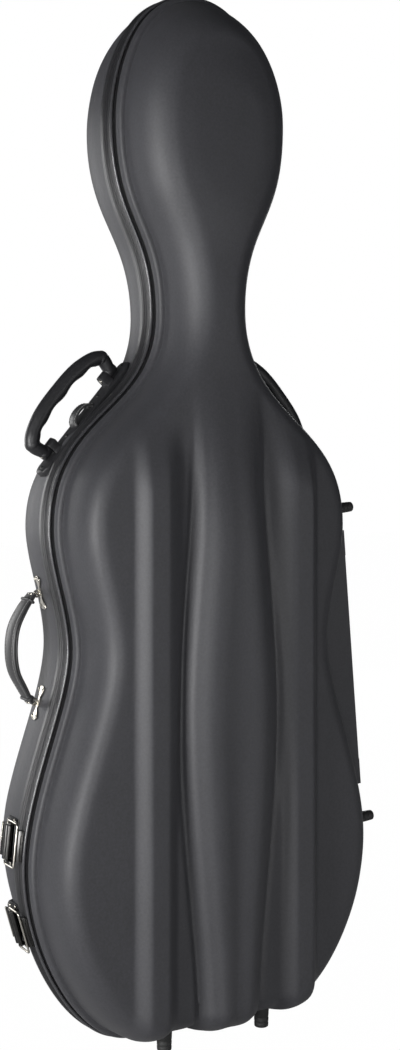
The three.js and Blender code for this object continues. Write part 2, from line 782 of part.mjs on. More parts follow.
function hingePoint(z) {
  return hingeFoot.clone().addScaledVector(hingeDirection, (z - LOWER_HEIGHT) / hingeDirection.z);
}

function makeHinge(forms) {
  const outward = new THREE.Vector3(hingeDirection.z, 0, -hingeDirection.x);
  const frame = new THREE.Matrix4().makeBasis(outward, new THREE.Vector3(0, 1, 0), hingeDirection);
  frame.setPosition(hingePoint(HINGE_LOW));
  const length = (HINGE_HIGH - HINGE_LOW) / hingeDirection.z;
  const pitch = length / HINGE_KNUCKLES;
  const relief = KNUCKLE_RADIUS + 2 * HINGE_RUNNING;
  const bore = HINGE_PIN_RADIUS + HINGE_RUNNING;

  // Leaf drawn along its length (X) and across (Y), then stood up along the pin. A web along its
  // far edge fills the hollow of the waist up to the shell.
  function leaf(name, toward, width, firstKnuckle, form, tabFrom) {
    const outline = [[0, width]];
    for (let k = 0; k < HINGE_KNUCKLES; k++) {
      const mine = k % 2 === firstKnuckle;
      const inner = mine ? 0 : relief;
      const start = k * pitch + (k === 0 ? 0 : mine ? HINGE_RUNNING : -HINGE_RUNNING);
      const end = (k + 1) * pitch - (k === HINGE_KNUCKLES - 1 ? 0 : mine ? HINGE_RUNNING : -HINGE_RUNNING);
      outline.push([start, inner], [end, inner]);
    }
    outline.push([length, width]);
    const stand = new THREE.Matrix4().makeBasis(
      new THREE.Vector3(0, 0, 1),
      new THREE.Vector3(0, toward, 0),
      new THREE.Vector3(-toward, 0, 0),
    );
    const sheet = slab(outline, -LEAF_THICK / 2, LEAF_THICK / 2).applyMatrix4(stand);
    const parts = [sheet];
    for (let k = firstKnuckle; k < HINGE_KNUCKLES; k += 2) {
      parts.push(bar(KNUCKLE_RADIUS, k * pitch + HINGE_RUNNING, (k + 1) * pitch - HINGE_RUNNING));
    }
    const yLow = Math.min(toward * tabFrom, toward * width);
    const yHigh = Math.max(toward * tabFrom, toward * width);
    const rivetRadius = 1.2 * LEAF_THICK;
    for (const low of [0, length - TAB_LENGTH]) {
      parts.push(block([-2.5 * HINGE_CLEAR, yLow, low], [0.7 * LEAF_THICK, yHigh, low + TAB_LENGTH]));
      for (const share of [0.25, 0.75]) {
        const rivet = bar(rivetRadius, 0, 1.5 * LEAF_THICK, 8, 0.7 * rivetRadius).rotateY(Math.PI / 2);
        parts.push(rivet.translate(0, (yLow + yHigh) / 2, low + share * TAB_LENGTH));
      }
    }
    const webInner = toward * (width - LEAF_THICK);
    const webOuter = toward * width;
    parts.push(
      block([-WEB_REACH, Math.min(webInner, webOuter), 0], [0, Math.max(webInner, webOuter), length]),
    );
    let solid = joined(...parts.map((g) => moved(g, frame)));
    solid = solid.subtract(solidFrom(moved(bar(bore, -pitch, length + pitch, 8), frame)));
    addPiece(name, geometryFrom(seatedOn(solid, form, outward)), bindingPlastic);
  }

  leaf("hinge_leaf_base", 1, BASE_LEAF_WIDTH, 0, forms.base, 0.3 * BASE_LEAF_WIDTH);
  leaf("hinge_leaf_lid", -1, LID_LEAF_WIDTH, 1, forms.lid, 0.62 * LID_LEAF_WIDTH);
  const head = 1.6 * HINGE_PIN_RADIUS;
  const shank = bar(HINGE_PIN_RADIUS, -head, length + head);
  const heads = [bar(head, -head, -HINGE_RUNNING), bar(head, length + HINGE_RUNNING, length + head)];
  addPiece("hinge_pin", geometryFrom(joined(...[shank, ...heads].map((g) => moved(g, frame)))), steel);
}

// Strap handle at the left waist: two brackets with eyes, two rings, and the leather strap.
// The eyes share one axis, about which the rings and the strap swing.
function strapEye(z) {
  const frame = rimFrame(-1, z, STRAP_DEPTH);
  frame.multiply(new THREE.Matrix4().makeTranslation(GAP - baseInsetAt(z, STRAP_DEPTH), 0, 0));
  const eye = new THREE.Vector3(BRACKET_THICK + EYE_RADIUS, 0, 0).applyMatrix4(frame);
  return { frame, eye };
}

function makeBracket(name, frame, eyeFrame, forms) {
  const half = BRACKET_LENGTH / 2;
  const wide = BRACKET_WIDTH / 2;
  const corners = [
    [1, 0.5],
    [0.8, 1],
    [0.3, 0.55],
    [-0.3, 0.55],
    [-0.8, 1],
    [-1, 0.5],
  ];
  const outline = [
    ...corners.map(([a, b]) => [a * half, b * wide]),
    ...corners.map(([a, b]) => [-a * half, -b * wide]),
  ];
  const plate = slab(outline, -BRACKET_THICK, 3 * BRACKET_THICK).applyMatrix4(uprightPlate);
  const eye = new THREE.TorusGeometry(EYE_RADIUS, 0.9 * BRACKET_THICK, 6, 12);
  const solid = joined(moved(plate, frame), moved(eye, eyeFrame));
  addPiece(name, geometryFrom(seatedOn(solid, forms.base, outwardOf(frame))), steel);
}

function makeStrapHandle(forms) {
  const low = strapEye(STRAP_LOW);
  const high = strapEye(STRAP_HIGH);
  const axis = high.eye.clone().sub(low.eye).normalize();
  const outward = new THREE.Vector3(-axis.z, 0, axis.x);
  const swing = new THREE.Matrix4().makeBasis(outward, new THREE.Vector3(0, -1, 0), axis);
  const ends = [low, high].map(({ frame, eye }, i) => {
    const label = i === 0 ? "lower" : "upper";
    const eyeFrame = swing.clone().setPosition(eye);
    makeBracket("strap_bracket_" + label, frame, eyeFrame, forms);
    addPiece("strap_ring_" + label, strapRing(STRAP_RING_WIRE, eyeFrame), steel);
    const end = new THREE.Vector3(2 * STRAP_RING_RADIUS - STRAP_THICK / 2, 0, 0);
    return { place: end.applyMatrix4(eyeFrame), hole: strapRing(STRAP_RING_WIRE + GAP, eyeFrame) };
  });
  const strap = handleStrap(ends[0].place, ends[1].place);
  const holes = ends.map((end) => solidFrom(end.hole));
  addPiece("handle_strap", geometryFrom(largest(strap.subtract(holes[0]).subtract(holes[1]))), strapLeather);
}

function strapRing(wire, eyeFrame) {
  const ring = new THREE.TorusGeometry(STRAP_RING_RADIUS, wire, 6, 12);
  ring.rotateX(Math.PI / 2).translate(STRAP_RING_RADIUS, 0, 0);
  return moved(geometryFrom(joined(ring)), eyeFrame);
}

function handleStrap(low, high) {
  const bow = WAIST_HALF + STRAP_BOW;
  const middle = (low.z + high.z) / 2;
  const rise = (high.z - low.z) / 2;
  const at = (share, height) => new THREE.Vector3(-share * bow, STRAP_DEPTH, middle + height * rise);
  const path = new THREE.CatmullRomCurve3([low, at(0.945, -0.56), at(1, 0), at(0.945, 0.56), high]);
  const steps = 16;
  const stations = [];
  for (let i = 0; i <= steps; i++) {
    const t = i / steps;
    const tangent = path.getTangent(t);
    const fullness = Math.pow(Math.sin(Math.PI * THREE.MathUtils.clamp(t, 0.02, 0.98)), 0.35);
    const thick = STRAP_THICK * (0.225 + 0.275 * fullness);
    const wide = STRAP_WIDTH * (0.31 + 0.19 * fullness);
    stations.push({
      centre: path.getPoint(t),
      across: new THREE.Vector3(-tangent.z, 0, tangent.x),
      along: new THREE.Vector3(0, 1, 0),
      section: [
        [-thick, -0.8 * wide],
        [0, -wide],
        [thick, -0.8 * wide],
        [thick, 0.8 * wide],
        [0, wide],
        [-thick, 0.8 * wide],
      ],
    });
  }
  return solidFrom(loftBody(stations));
}

// Moulded handles on the shoulders: a mount plate with two lugs, a finger grip between them on
// two pins, and a strap loop at the middle of the plate.
function shoulderFrame(side) {
  const low = wallPoint(side, SHOULDER_HEIGHT - 0.36 * GRIP_SPAN, SHOULDER_DEPTH);
  const high = wallPoint(side, SHOULDER_HEIGHT + 0.36 * GRIP_SPAN, SHOULDER_DEPTH);
  const along = high.clone().sub(low).normalize();
  const outward = new THREE.Vector3(side * along.z, 0, -side * along.x);
  const frame = new THREE.Matrix4().makeBasis(outward, new THREE.Vector3().crossVectors(along, outward), along);
  return frame.setPosition(low.add(high).multiplyScalar(0.5));
}

const gripEnd = GRIP_SPAN / 2 - GRIP_END_RADIUS;
const lugOuter = gripEnd - GRIP_END_RADIUS - GAP;

function makeHandleMount(name, frame, forms) {
  const half = MOUNT_LENGTH / 2;
  const wide = MOUNT_WIDTH / 2;
  const outline = [
    [-half, -0.6 * wide],
    [-0.88 * half, -wide],
    [0.88 * half, -wide],
    [half, -0.6 * wide],
    [half, 0.6 * wide],
    [0.88 * half, wide],
    [-0.88 * half, wide],
    [-half, 0.6 * wide],
  ];
  const parts = [slab(outline, -MOUNT_THICK, 2 * MOUNT_THICK).applyMatrix4(uprightPlate)];
  for (const end of [-1, 1]) {
    const low = end > 0 ? lugOuter - LUG_LENGTH : -lugOuter;
    const high = low + LUG_LENGTH;
    parts.push(bar(LUG_RADIUS, low, high).translate(PIVOT_STAND, 0, 0));
    parts.push(block([0, -LUG_RADIUS, low], [PIVOT_STAND, LUG_RADIUS, high]));
  }
  const hole = bar(PIVOT_RADIUS + GAP, -GRIP_SPAN, GRIP_SPAN).translate(PIVOT_STAND, 0, 0);
  const solid = joined(...parts.map((g) => moved(g, frame))).subtract(solidFrom(moved(hole, frame)));
  addPiece(name, geometryFrom(largest(seatedOn(solid, forms.base, outwardOf(frame)))), handlePlastic);
}

function gripStations() {
  const at = (share, height) => new THREE.Vector3(PIVOT_STAND + share * GRIP_BOW, 0, height * gripEnd);
  const path = new THREE.CatmullRomCurve3([
    at(0, -1),
    at(0.55, -1.04),
    at(0.9, -0.66),
    at(1, 0),
    at(0.9, 0.66),
    at(0.55, 1.04),
    at(0, 1),
  ]);
  const steps = 24;
  const fingersFrom = 0.22;
  const stations = [];
  for (let i = 0; i <= steps; i++) {
    const t = i / steps;
    const tangent = path.getTangent(t);
    const radius = THREE.MathUtils.lerp(GRIP_END_RADIUS, GRIP_RADIUS, Math.pow(Math.sin(Math.PI * t), 0.6));
    const inGrip = ramp(fingersFrom, fingersFrom + 0.06, t) * ramp(1 - fingersFrom, 0.94 - fingersFrom, t);
    const turn = (2 * Math.PI * FINGER_COUNT * (t - fingersFrom)) / (1 - 2 * fingersFrom);
    const dip = FINGER_DIP * inGrip * 0.5 * (1 - Math.cos(turn));
    stations.push({
      centre: path.getPoint(t),
      across: new THREE.Vector3(tangent.z, 0, -tangent.x),
      along: new THREE.Vector3(0, 1, 0),
      section: roundSection(radius, radius, 8).map(([a, b]) => [a < 0 ? a - (dip * a) / radius : a, b]),
    });
  }
  return stations;
}

function makeShoulderHandle(side, label, forms) {
  const frame = shoulderFrame(side);
  makeHandleMount(label + "_handle_mount", frame, forms);
  const bosses = [-1, 1].map((end) => {
    const middle = end * gripEnd;
    return bar(GRIP_END_RADIUS, middle - GRIP_END_RADIUS, middle + GRIP_END_RADIUS).translate(PIVOT_STAND, 0, 0);
  });
  const bore = bar(PIVOT_RADIUS + GAP, -GRIP_SPAN, GRIP_SPAN).translate(PIVOT_STAND, 0, 0);
  const grip = joined(loftBody(gripStations()), ...bosses).subtract(solidFrom(bore));
  addPiece(label + "_handle_grip", moved(geometryFrom(grip), frame), handlePlastic);
  for (const end of [-1, 1]) {
    const inner = end * (lugOuter - LUG_LENGTH - GAP);
    const outer = end * (gripEnd + GRIP_END_RADIUS + GAP);
    const low = Math.min(inner, outer);
    const high = Math.max(inner, outer);
    const pin = bar(PIVOT_RADIUS, low, high).translate(PIVOT_STAND, 0, 0);
    const pinName = label + "_handle_pin_" + (end < 0 ? "lower" : "upper");
    addPiece(pinName, moved(geometryFrom(joined(pin)), frame), steel);
  }
  makeStrapLoop(label + "_strap_loop", frame);
}

// A stiff leather loop for a carrying strap: half a ring that stands on the mount plate.
function makeStrapLoop(name, frame) {
  const stand = MOUNT_THICK + GAP;
  const outer = [];
  const inner = [];
  const steps = 10;
  for (let i = 0; i <= steps; i++) {
    const turn = (Math.PI * i) / steps;
    outer.push([stand + LOOP_RISE * Math.sin(turn), LOOP_HALF * Math.cos(turn)]);
    inner.push([
      stand + (LOOP_RISE - LOOP_THICK) * Math.sin(turn),
      (LOOP_HALF - 1.5 * LOOP_THICK) * Math.cos(turn),
    ]);
  }
  const flat = slab([...outer, ...inner.reverse()], -LOOP_WIDTH / 2, LOOP_WIDTH / 2);
  const turned = flat.rotateX(Math.PI / 2);
  addPiece(name, moved(geometryFrom(joined(turned)), frame), strapLeather);
}

// Draw latches: a plate with ears, a lever that pulls a wire bail, and the bail's keeper on the
// lid. Drawn beside the wall: X away from it, Y to the front and Z along the rim.
const plateFront = -BASE_RIM_DEPTH - LATCH_FROM_RIM;
const leverAxis = plateFront - LEVER_PIN_IN;
const bailAxis = leverAxis - BAIL_PIN_IN;
const leverHalf = LEVER_LENGTH / 2;
const earRadius = 2 * LEVER_PIN_RADIUS;
const keeperTop = RIDGE_PROUD + KEEPER_STAND;
const hookOut = keeperTop + GAP + BAIL_WIRE;
const hookFront = RIDGE_DEPTH + KEEPER_LIP;

function makeLatchPlate(name, frame, forms) {
  const half = LATCH_LENGTH / 2;
  const back = plateFront - LATCH_WIDTH;
  const corner = 0.2 * LATCH_WIDTH;
  const outline = [
    [-half, back + corner],
    [-half + corner, back],
    [half - corner, back],
    [half, back + corner],
    [half, plateFront],
    [-half, plateFront],
  ];
  const parts = [slab(outline, -LATCH_PLATE_THICK - GAP, 3 * LATCH_PLATE_THICK).applyMatrix4(uprightPlate)];
  for (const low of [leverHalf + GAP, -leverHalf - GAP - LEVER_EAR]) {
    parts.push(bar(earRadius, low, low + LEVER_EAR).translate(LEVER_PIN_STAND, leverAxis, 0));
    parts.push(
      block([0, leverAxis - earRadius, low], [LEVER_PIN_STAND, leverAxis + earRadius, low + LEVER_EAR]),
    );
  }
  const hole = bar(LEVER_PIN_RADIUS + GAP, -half, half).translate(LEVER_PIN_STAND, leverAxis, 0);
  const solid = joined(...parts).subtract(solidFrom(hole));
  const placed = solidFrom(moved(geometryFrom(solid), frame));
  addPiece(name, geometryFrom(seatedOn(placed, forms.base, outwardOf(frame))), steel);
}

function makeLatchLever(name, frame) {
  const pinHalf = leverHalf + GAP + LEVER_EAR + GAP;
  const under = LEVER_PIN_STAND - 0.5 * LEVER_THICK;
  const over = LEVER_PIN_STAND + 0.5 * LEVER_THICK;
  const tip = leverAxis - LEVER_REACH;
  const side = [
    [under, leverAxis],
    [under, tip + LEVER_THICK],
    [over, tip - LEVER_THICK],
    [over + LEVER_THICK, tip - LEVER_THICK],
    [over + 0.6 * LEVER_THICK, tip + LEVER_THICK],
    [over, tip + 3 * LEVER_THICK],
    [over, leverAxis],
  ];
  const parts = [
    slab(side, -leverHalf, leverHalf),
    bar(earRadius - GAP, -leverHalf, leverHalf).translate(LEVER_PIN_STAND, leverAxis, 0),
    bar(LEVER_PIN_RADIUS, -pinHalf, pinHalf).translate(LEVER_PIN_STAND, leverAxis, 0),
    bar(BAIL_WIRE + LEVER_THICK, -leverHalf, leverHalf).translate(LEVER_PIN_STAND, bailAxis, 0),
  ];
  const hole = bar(BAIL_WIRE + GAP, -LATCH_LENGTH, LATCH_LENGTH, 8);
  const bored = joined(...parts).subtract(solidFrom(hole.translate(LEVER_PIN_STAND, bailAxis, 0)));
  addPiece(name, moved(geometryFrom(bored), frame), steel);
}

function makeLatchBail(name, frame) {
  const legAt = leverHalf + LEVER_EAR + 2 * LEVER_PIN_RADIUS;
  const across = legAt + 0.5 * BAIL_WIRE;
  const rise = hookOut - LEVER_PIN_STAND;
  const run = hookFront - bailAxis;
  const overrun = 0.7 * BAIL_WIRE;
  const parts = [
    bar(BAIL_WIRE, -across, across, 8).translate(LEVER_PIN_STAND, bailAxis, 0),
    bar(BAIL_WIRE, -across, across, 8).translate(hookOut, hookFront, 0),
  ];
  for (const end of [-1, 1]) {
    const leg = bar(BAIL_WIRE, -overrun, Math.hypot(rise, run) + overrun, 8).rotateX(-Math.PI / 2);
    parts.push(leg.rotateZ(-Math.atan2(rise, run)).translate(LEVER_PIN_STAND, bailAxis, end * legAt));
  }
  addPiece(name, moved(geometryFrom(joined(...parts)), frame), steel);
}

function makeLatchKeeper(name, frame) {
  const foot = CHANNEL_PROUD + GAP;
  const side = [
    [RIDGE_PROUD + GAP, 0.15 * RIDGE_DEPTH],
    [keeperTop, 0.35 * RIDGE_DEPTH],
    [keeperTop, hookFront + 0.5 * BAIL_WIRE],
    [foot + 1.5 * BAIL_WIRE, hookFront + 3 * BAIL_WIRE],
    [foot + BAIL_WIRE, KEEPER_FOOT],
    [foot, KEEPER_FOOT],
    [foot, RIDGE_DEPTH + GAP],
    [RIDGE_PROUD + GAP, RIDGE_DEPTH],
  ];
  const keeper = slab(side, -KEEPER_LENGTH / 2, KEEPER_LENGTH / 2);
  addPiece(name, moved(geometryFrom(joined(keeper)), frame), steel);
}

function makeLatch(label, z, forms) {
  const frame = rimFrame(-1, z, 0);
  makeLatchPlate(label + "_plate", frame, forms);
  makeLatchLever(label + "_lever", frame);
  makeLatchBail(label + "_bail", frame);
  makeLatchKeeper(label + "_keeper", frame);
}

// Rubber studs on the hinge side, on which the case lies, and feet under the bottom.
function makeStudsAndFeet(forms) {
  const halves = [
    ["lid", forms.lid, -LID_STUD_DEPTH, -LID_FOOT_DEPTH],
    ["base", forms.base, BASE_STUD_DEPTH, BASE_FOOT_DEPTH],
  ];
  for (const [half, form, studDepth, footDepth] of halves) {
    STUD_HEIGHTS.forEach((z, i) => {
      const frame = rimFrame(1, z, studDepth);
      const stud = bar(STUD_RADIUS, -2 * STUD_STAND, STUD_STAND, 12, STUD_TIP_RADIUS).rotateY(Math.PI / 2);
      const solid = seatedOn(solidFrom(moved(stud, frame)), form, outwardOf(frame));
      const outer = solid.decompose().sort((a, b) => b.boundingBox().max[0] - a.boundingBox().max[0])[0];
      addPiece(half + "_stud_" + (i === 0 ? "upper" : "lower"), geometryFrom(outer), rubber);
    });
    for (const side of [-1, 1]) {
      const foot = bar(FOOT_TIP_RADIUS, -FOOT_DROP, 4 * FOOT_RADIUS, 12, FOOT_RADIUS);
      foot.translate(side * FOOT_SIDE, footDepth, 0);
      const solid = seatedOn(solidFrom(foot), form, new THREE.Vector3(0, 0, -1));
      const lowest = solid.decompose().sort((a, b) => a.boundingBox().min[2] - b.boundingBox().min[2])[0];
      addPiece(half + "_foot_" + (side < 0 ? "left" : "right"), geometryFrom(lowest), rubber);
    }
  }
}

// Neck cradle: a padded block across the rear shell with a round-bottomed notch, and its strap.
function makeNeckCradle(room) {
  const wide = 2 * NECK_HALF;
  const whole = block([-wide, CRADLE_FRONT, CRADLE_LOW], [wide, CRADLE_FRONT + BASE_BODY_DEPTH, CRADLE_HIGH]);
  const bottom = CRADLE_FRONT + NOTCH_DEPTH - NOTCH_HALF;
  const notch = joined(
    bar(NOTCH_HALF, 0, CASE_HEIGHT, 20).translate(0, bottom, 0),
    block([-NOTCH_HALF, 0, 0], [NOTCH_HALF, bottom, CASE_HEIGHT]),
  );
  const cradle = solidFrom(whole).intersect(room.base).subtract(notch);
  addPiece("neck_cradle", geometryFrom(cradle), plush);
  const middle = (CRADLE_LOW + CRADLE_HIGH) / 2;
  const back = CRADLE_FRONT - GAP;
  const strap = block(
    [-NECK_STRAP_LENGTH / 2, back - NECK_STRAP_THICK, middle - NECK_STRAP_WIDTH / 2],
    [NECK_STRAP_LENGTH / 2, back, middle + NECK_STRAP_WIDTH / 2],
  );
  addPiece("neck_strap", geometryFrom(joined(strap)), strapLeather);
}

// Cushions on the side walls: crowned, with drawn-in ends and a channel sewn along the middle.
function makePad(name, side, height, length, thick, room) {
  const middle = PAD_FRONT + PAD_WIDTH / 2;
  const frame = rimFrame(side, height, middle);
  const wall = baseInsetAt(height, middle) + SHELL_WALL + LINING_THICK;
  const toBack = side < 0 ? -1 : 1;
  const steps = 10;
  const stations = [];
  for (let i = 0; i <= steps; i++) {
    const t = (2 * i) / steps - 1;
    const fullness = Math.pow(1 - Math.pow(Math.abs(t), 3) * 0.98, 1 / 3);
    const channel = 1 - 0.16 * Math.exp(-Math.pow(t / 0.1, 2));
    const wide = (PAD_WIDTH / 2) * (0.82 + 0.18 * fullness);
    const section = [];
    for (let k = 0; k <= steps - 2; k++) {
      const v = (2 * k) / (steps - 2) - 1;
      const crown = Math.pow(1 - Math.pow(Math.abs(v), 3) * 0.98, 1 / 3);
      section.push([-thick * fullness * crown * channel, v * wide]);
    }
    section.push([thick, wide], [thick, -wide]);
    stations.push({
      centre: new THREE.Vector3(-wall, 0, (t * length) / 2),
      across: new THREE.Vector3(1, 0, 0),
      along: new THREE.Vector3(0, toBack, 0),
      section,
    });
  }
  const pillow = solidFrom(moved(loftBody(stations), frame));
  addPiece(name, geometryFrom(largest(pillow.intersect(room.base))), plush);
}

// Cup for the end pin, at the bottom of the rear shell.
function makePinCup(room) {
  const outside = bar(PIN_CUP_RADIUS, 0, PIN_CUP_TOP, 16).translate(0, PIN_CUP_DEPTH, 0);
  const bore = bar(PIN_CUP_BORE, PIN_CUP_TOP - 2 * PIN_CUP_BORE, 2 * PIN_CUP_TOP, 16);
  const cup = solidFrom(outside).intersect(room.base).subtract(solidFrom(bore.translate(0, PIN_CUP_DEPTH, 0)));
  addPiece("endpin_cup", geometryFrom(largest(cup)), rubber);
}

// Bow holders in the lid: a notched block with a turning catch for the stick, and a frog pocket.
function makeBowHolder(side, label, room) {
  const middle = side * BOW_SIDE;
  const low = BOW_BLOCK_HEIGHT - BOW_BLOCK_LENGTH / 2;
  const high = BOW_BLOCK_HEIGHT + BOW_BLOCK_LENGTH / 2;
  const half = BOW_BLOCK_WIDTH / 2;
  const pinSide = middle - side * (BOW_NOTCH_HALF + 2 * SPINNER_PIN_RADIUS);
  const whole = block([middle - half, -2 * BOW_BLOCK_FRONT, low], [middle + half, -BOW_BLOCK_FRONT, high]);
  const notchFloor = -BOW_BLOCK_FRONT - BOW_NOTCH_DEPTH + BOW_NOTCH_HALF;
  const notch = joined(
    bar(BOW_NOTCH_HALF, low - half, high + half).translate(middle, notchFloor, 0),
    block([middle - BOW_NOTCH_HALF, notchFloor, low - half], [middle + BOW_NOTCH_HALF, 0, high + half]),
  );
  const pinDepth = 2 * SPINNER_THICK;
  const alongY = (radius, from, to) =>
    bar(radius, from, to).rotateX(-Math.PI / 2).translate(pinSide, -BOW_BLOCK_FRONT, BOW_BLOCK_HEIGHT);
  const socket = solidFrom(alongY(SPINNER_PIN_RADIUS + GAP, -pinDepth - GAP, pinDepth));
  const holder = solidFrom(whole).intersect(room.lid).subtract(notch).subtract(socket);
  addPiece(label + "_bow_block", geometryFrom(largest(holder)), plush);
  const arm = new THREE.Shape();
  const tip = SPINNER_WIDTH / 2;
  arm.absarc(0, 0, tip, Math.PI / 2, -Math.PI / 2, false);
  arm.absarc(SPINNER_LENGTH - tip, 0, tip, -Math.PI / 2, Math.PI / 2, false);
  const flat = new THREE.ExtrudeGeometry(arm, { depth: SPINNER_THICK, bevelEnabled: false, curveSegments: 6 });
  flat.rotateX(-Math.PI / 2).rotateZ(side < 0 ? Math.PI : 0);
  flat.translate(pinSide, side < 0 ? SPINNER_THICK : 0, BOW_BLOCK_HEIGHT);
  flat.translate(0, GAP - BOW_BLOCK_FRONT, 0);
  const spinner = joined(flat, alongY(SPINNER_PIN_RADIUS, -pinDepth, SPINNER_THICK));
  addPiece(label + "_bow_catch", geometryFrom(spinner), strapLeather);
}

function makeFrogPocket(side, label, room) {
  const middle = side * BOW_SIDE;
  const half = FROG_POCKET_WIDTH / 2;
  const high = FROG_POCKET_LOW + FROG_POCKET_LENGTH;
  const wall = FROG_POCKET_WALL;
  const far = -2 * FROG_POCKET_FRONT;
  const outside = block([middle - half, far, FROG_POCKET_LOW], [middle + half, -FROG_POCKET_FRONT, high]);
  const inside = block(
    [middle - half + wall, far - wall, FROG_POCKET_LOW + wall],
    [middle + half - wall, -FROG_POCKET_FRONT - wall, high + wall],
  );
  const pocket = solidFrom(outside).subtract(solidFrom(inside)).intersect(room.lid);
  addPiece(label + "_frog_pocket", geometryFrom(largest(pocket)), plush);
}

// Stands the case on the origin: the middle of its footprint's box, with its feet at Z = 0.
function standOnOrigin() {
  const box = new THREE.Box3().setFromObject(caseGroup, true);
  caseGroup.position.set(-(box.min.x + box.max.x) / 2, -(box.min.y + box.max.y) / 2, -box.min.z);
}

const baseOuter = makeBaseShell();
const lidOuter = makeLidShell();
const forms = filledForms(baseOuter, lidOuter);
makeRims();
const room = makeLinings();
makeHinge(forms);
makeStrapHandle(forms);
makeShoulderHandle(-1, "left", forms);
makeShoulderHandle(1, "right", forms);
makeLatch("upper_latch", LATCH_HEIGHTS[0], forms);
makeLatch("lower_latch", LATCH_HEIGHTS[1], forms);
makeStudsAndFeet(forms);
makeNeckCradle(room);
for (const [side, label] of [[-1, "left"], [1, "right"]]) {
  makePad(label + "_waist_pad", side, WAIST_PAD_HEIGHT, WAIST_PAD_LENGTH, WAIST_PAD_THICK, room);
  makePad(label + "_shoulder_pad", side, SHOULDER_PAD_HEIGHT, SHOULDER_PAD_LENGTH, SHOULDER_PAD_THICK, room);
  makeBowHolder(side, label, room);
  makeFrogPocket(side, label, room);
}
makePinCup(room);
standOnOrigin();

export default caseGroup;
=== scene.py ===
"""Looks of the cello hard case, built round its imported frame.

Lengths are in millimetres in the working drawings and are turned to metres when a piece is made.
X runs to the right, Y to the back and Z up, as in the frame. The sections follow the case as it is
put together: rear shell, lid, linings, hinge, side strap, shoulder handles, latches, studs and
feet, and what lies inside.
"""
import json
import math

import bmesh
import bpy
import numpy as np
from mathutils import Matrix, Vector


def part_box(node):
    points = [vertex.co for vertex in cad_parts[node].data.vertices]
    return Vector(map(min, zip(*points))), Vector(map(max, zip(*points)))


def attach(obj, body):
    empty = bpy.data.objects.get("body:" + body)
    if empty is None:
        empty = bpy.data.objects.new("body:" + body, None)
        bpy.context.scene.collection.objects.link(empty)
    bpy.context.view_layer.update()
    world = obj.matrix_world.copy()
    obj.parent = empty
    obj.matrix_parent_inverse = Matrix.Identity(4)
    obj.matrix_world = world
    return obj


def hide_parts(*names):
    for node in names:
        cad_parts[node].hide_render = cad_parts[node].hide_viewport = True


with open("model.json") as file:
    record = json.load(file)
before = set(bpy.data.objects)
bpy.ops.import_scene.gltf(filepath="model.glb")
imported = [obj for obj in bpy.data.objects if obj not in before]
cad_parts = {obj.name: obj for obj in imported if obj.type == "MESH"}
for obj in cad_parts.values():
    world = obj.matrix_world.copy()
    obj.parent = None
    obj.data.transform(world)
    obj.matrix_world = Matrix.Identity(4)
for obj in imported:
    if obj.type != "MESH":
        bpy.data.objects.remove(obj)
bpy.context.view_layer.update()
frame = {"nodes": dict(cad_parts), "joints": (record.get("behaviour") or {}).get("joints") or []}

# The place of the drawing: a studio with a white floor. A large soft lamp stands on the left, two
# weaker ones in front and two behind. The camera stands to the left of the lid at the height of
# the case's waist and looks level.
binding_front, binding_proud = 0.15, 1.2
rim_low, rim_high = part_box("base_rim")
drawing_place = np.array([
    500 * (rim_low.x + rim_high.x),
    1000 * rim_low.y - binding_front,
    1000 * rim_low.z + binding_proud,
])


def put(name, data):
    """An object in the scene."""
    thing = bpy.data.objects.new(name, data)
    bpy.context.collection.objects.link(thing)
    return thing


view_turn = math.radians(32)
view_forward = np.array([math.sin(view_turn), math.cos(view_turn), 0])
view_right = np.array([math.cos(view_turn), -math.sin(view_turn), 0])
view_distance, view_shift, view_height, lid_middle = 1944.7, 8, 738.4, -30
camera_point = -view_distance * view_forward + view_shift * view_right
camera_point = camera_point + np.array([0, lid_middle, view_height]) + drawing_place
picture_height, focal_length, horizon_shift = 1050, 1500, -75
camera_data = bpy.data.cameras.new("studio_camera")
camera_data.sensor_fit = "VERTICAL"
camera_data.sensor_height = 36
camera_data.lens = 36 * focal_length / picture_height
camera_data.shift_y = horizon_shift / picture_height
camera_data.clip_start = 0.05
camera = put("studio_camera", camera_data)
camera.location = (camera_point / 1000).tolist()
camera.rotation_euler = (math.radians(90), 0, -view_turn)
bpy.context.scene.camera = camera
bpy.context.scene.view_settings.view_transform = "Standard"

for name, point, aim_height, size, watts in (
    ("left_window", (-2.85, -0.8, 0.6), 0.55, (0.9, 1.3), 86),
    ("front_fill", (-1.5, -2.6, 0.45), 0.6, (0.8, 1.2), 30),
    ("right_fill", (1.3, -2.7, 0.5), 0.6, (0.8, 1.5), 11),
    ("rear_left_fill", (-1.1, 3.1, 1), 0.6, (1.2, 1.6), 24),
    ("rear_right_fill", (2.1, 2.3, 1), 0.6, (1.2, 1.6), 24),
):
    lamp = bpy.data.lights.new(name, "AREA")
    lamp.shape = "RECTANGLE"
    lamp.size, lamp.size_y = size
    lamp.energy = watts
    holder = put(name, lamp)
    holder.location = point
    to_aim = Vector((0, 0, aim_height)) - Vector(point)
    holder.rotation_euler = to_aim.to_track_quat("-Z", "Y").to_euler()


def feed(tree, node, inputs):
    """Gives a node its inputs: a value is set, another node's output is linked."""
    for key, value in inputs.items():
        if isinstance(value, bpy.types.NodeSocket):
            tree.links.new(value, node.inputs[key])
        else:
            node.inputs[key].default_value = value
    return node


def add_node(tree, kind, inputs=(), **settings):
    node = tree.nodes.new(kind)
    for key, value in settings.items():
        setattr(node, key, value)
    return feed(tree, node, dict(inputs))


def maths(tree, operation, *values):
    return add_node(tree, "ShaderNodeMath", enumerate(values), operation=operation).outputs[0]


def found(tree, kind):
    return next(n for n in tree.nodes if n.type == kind)


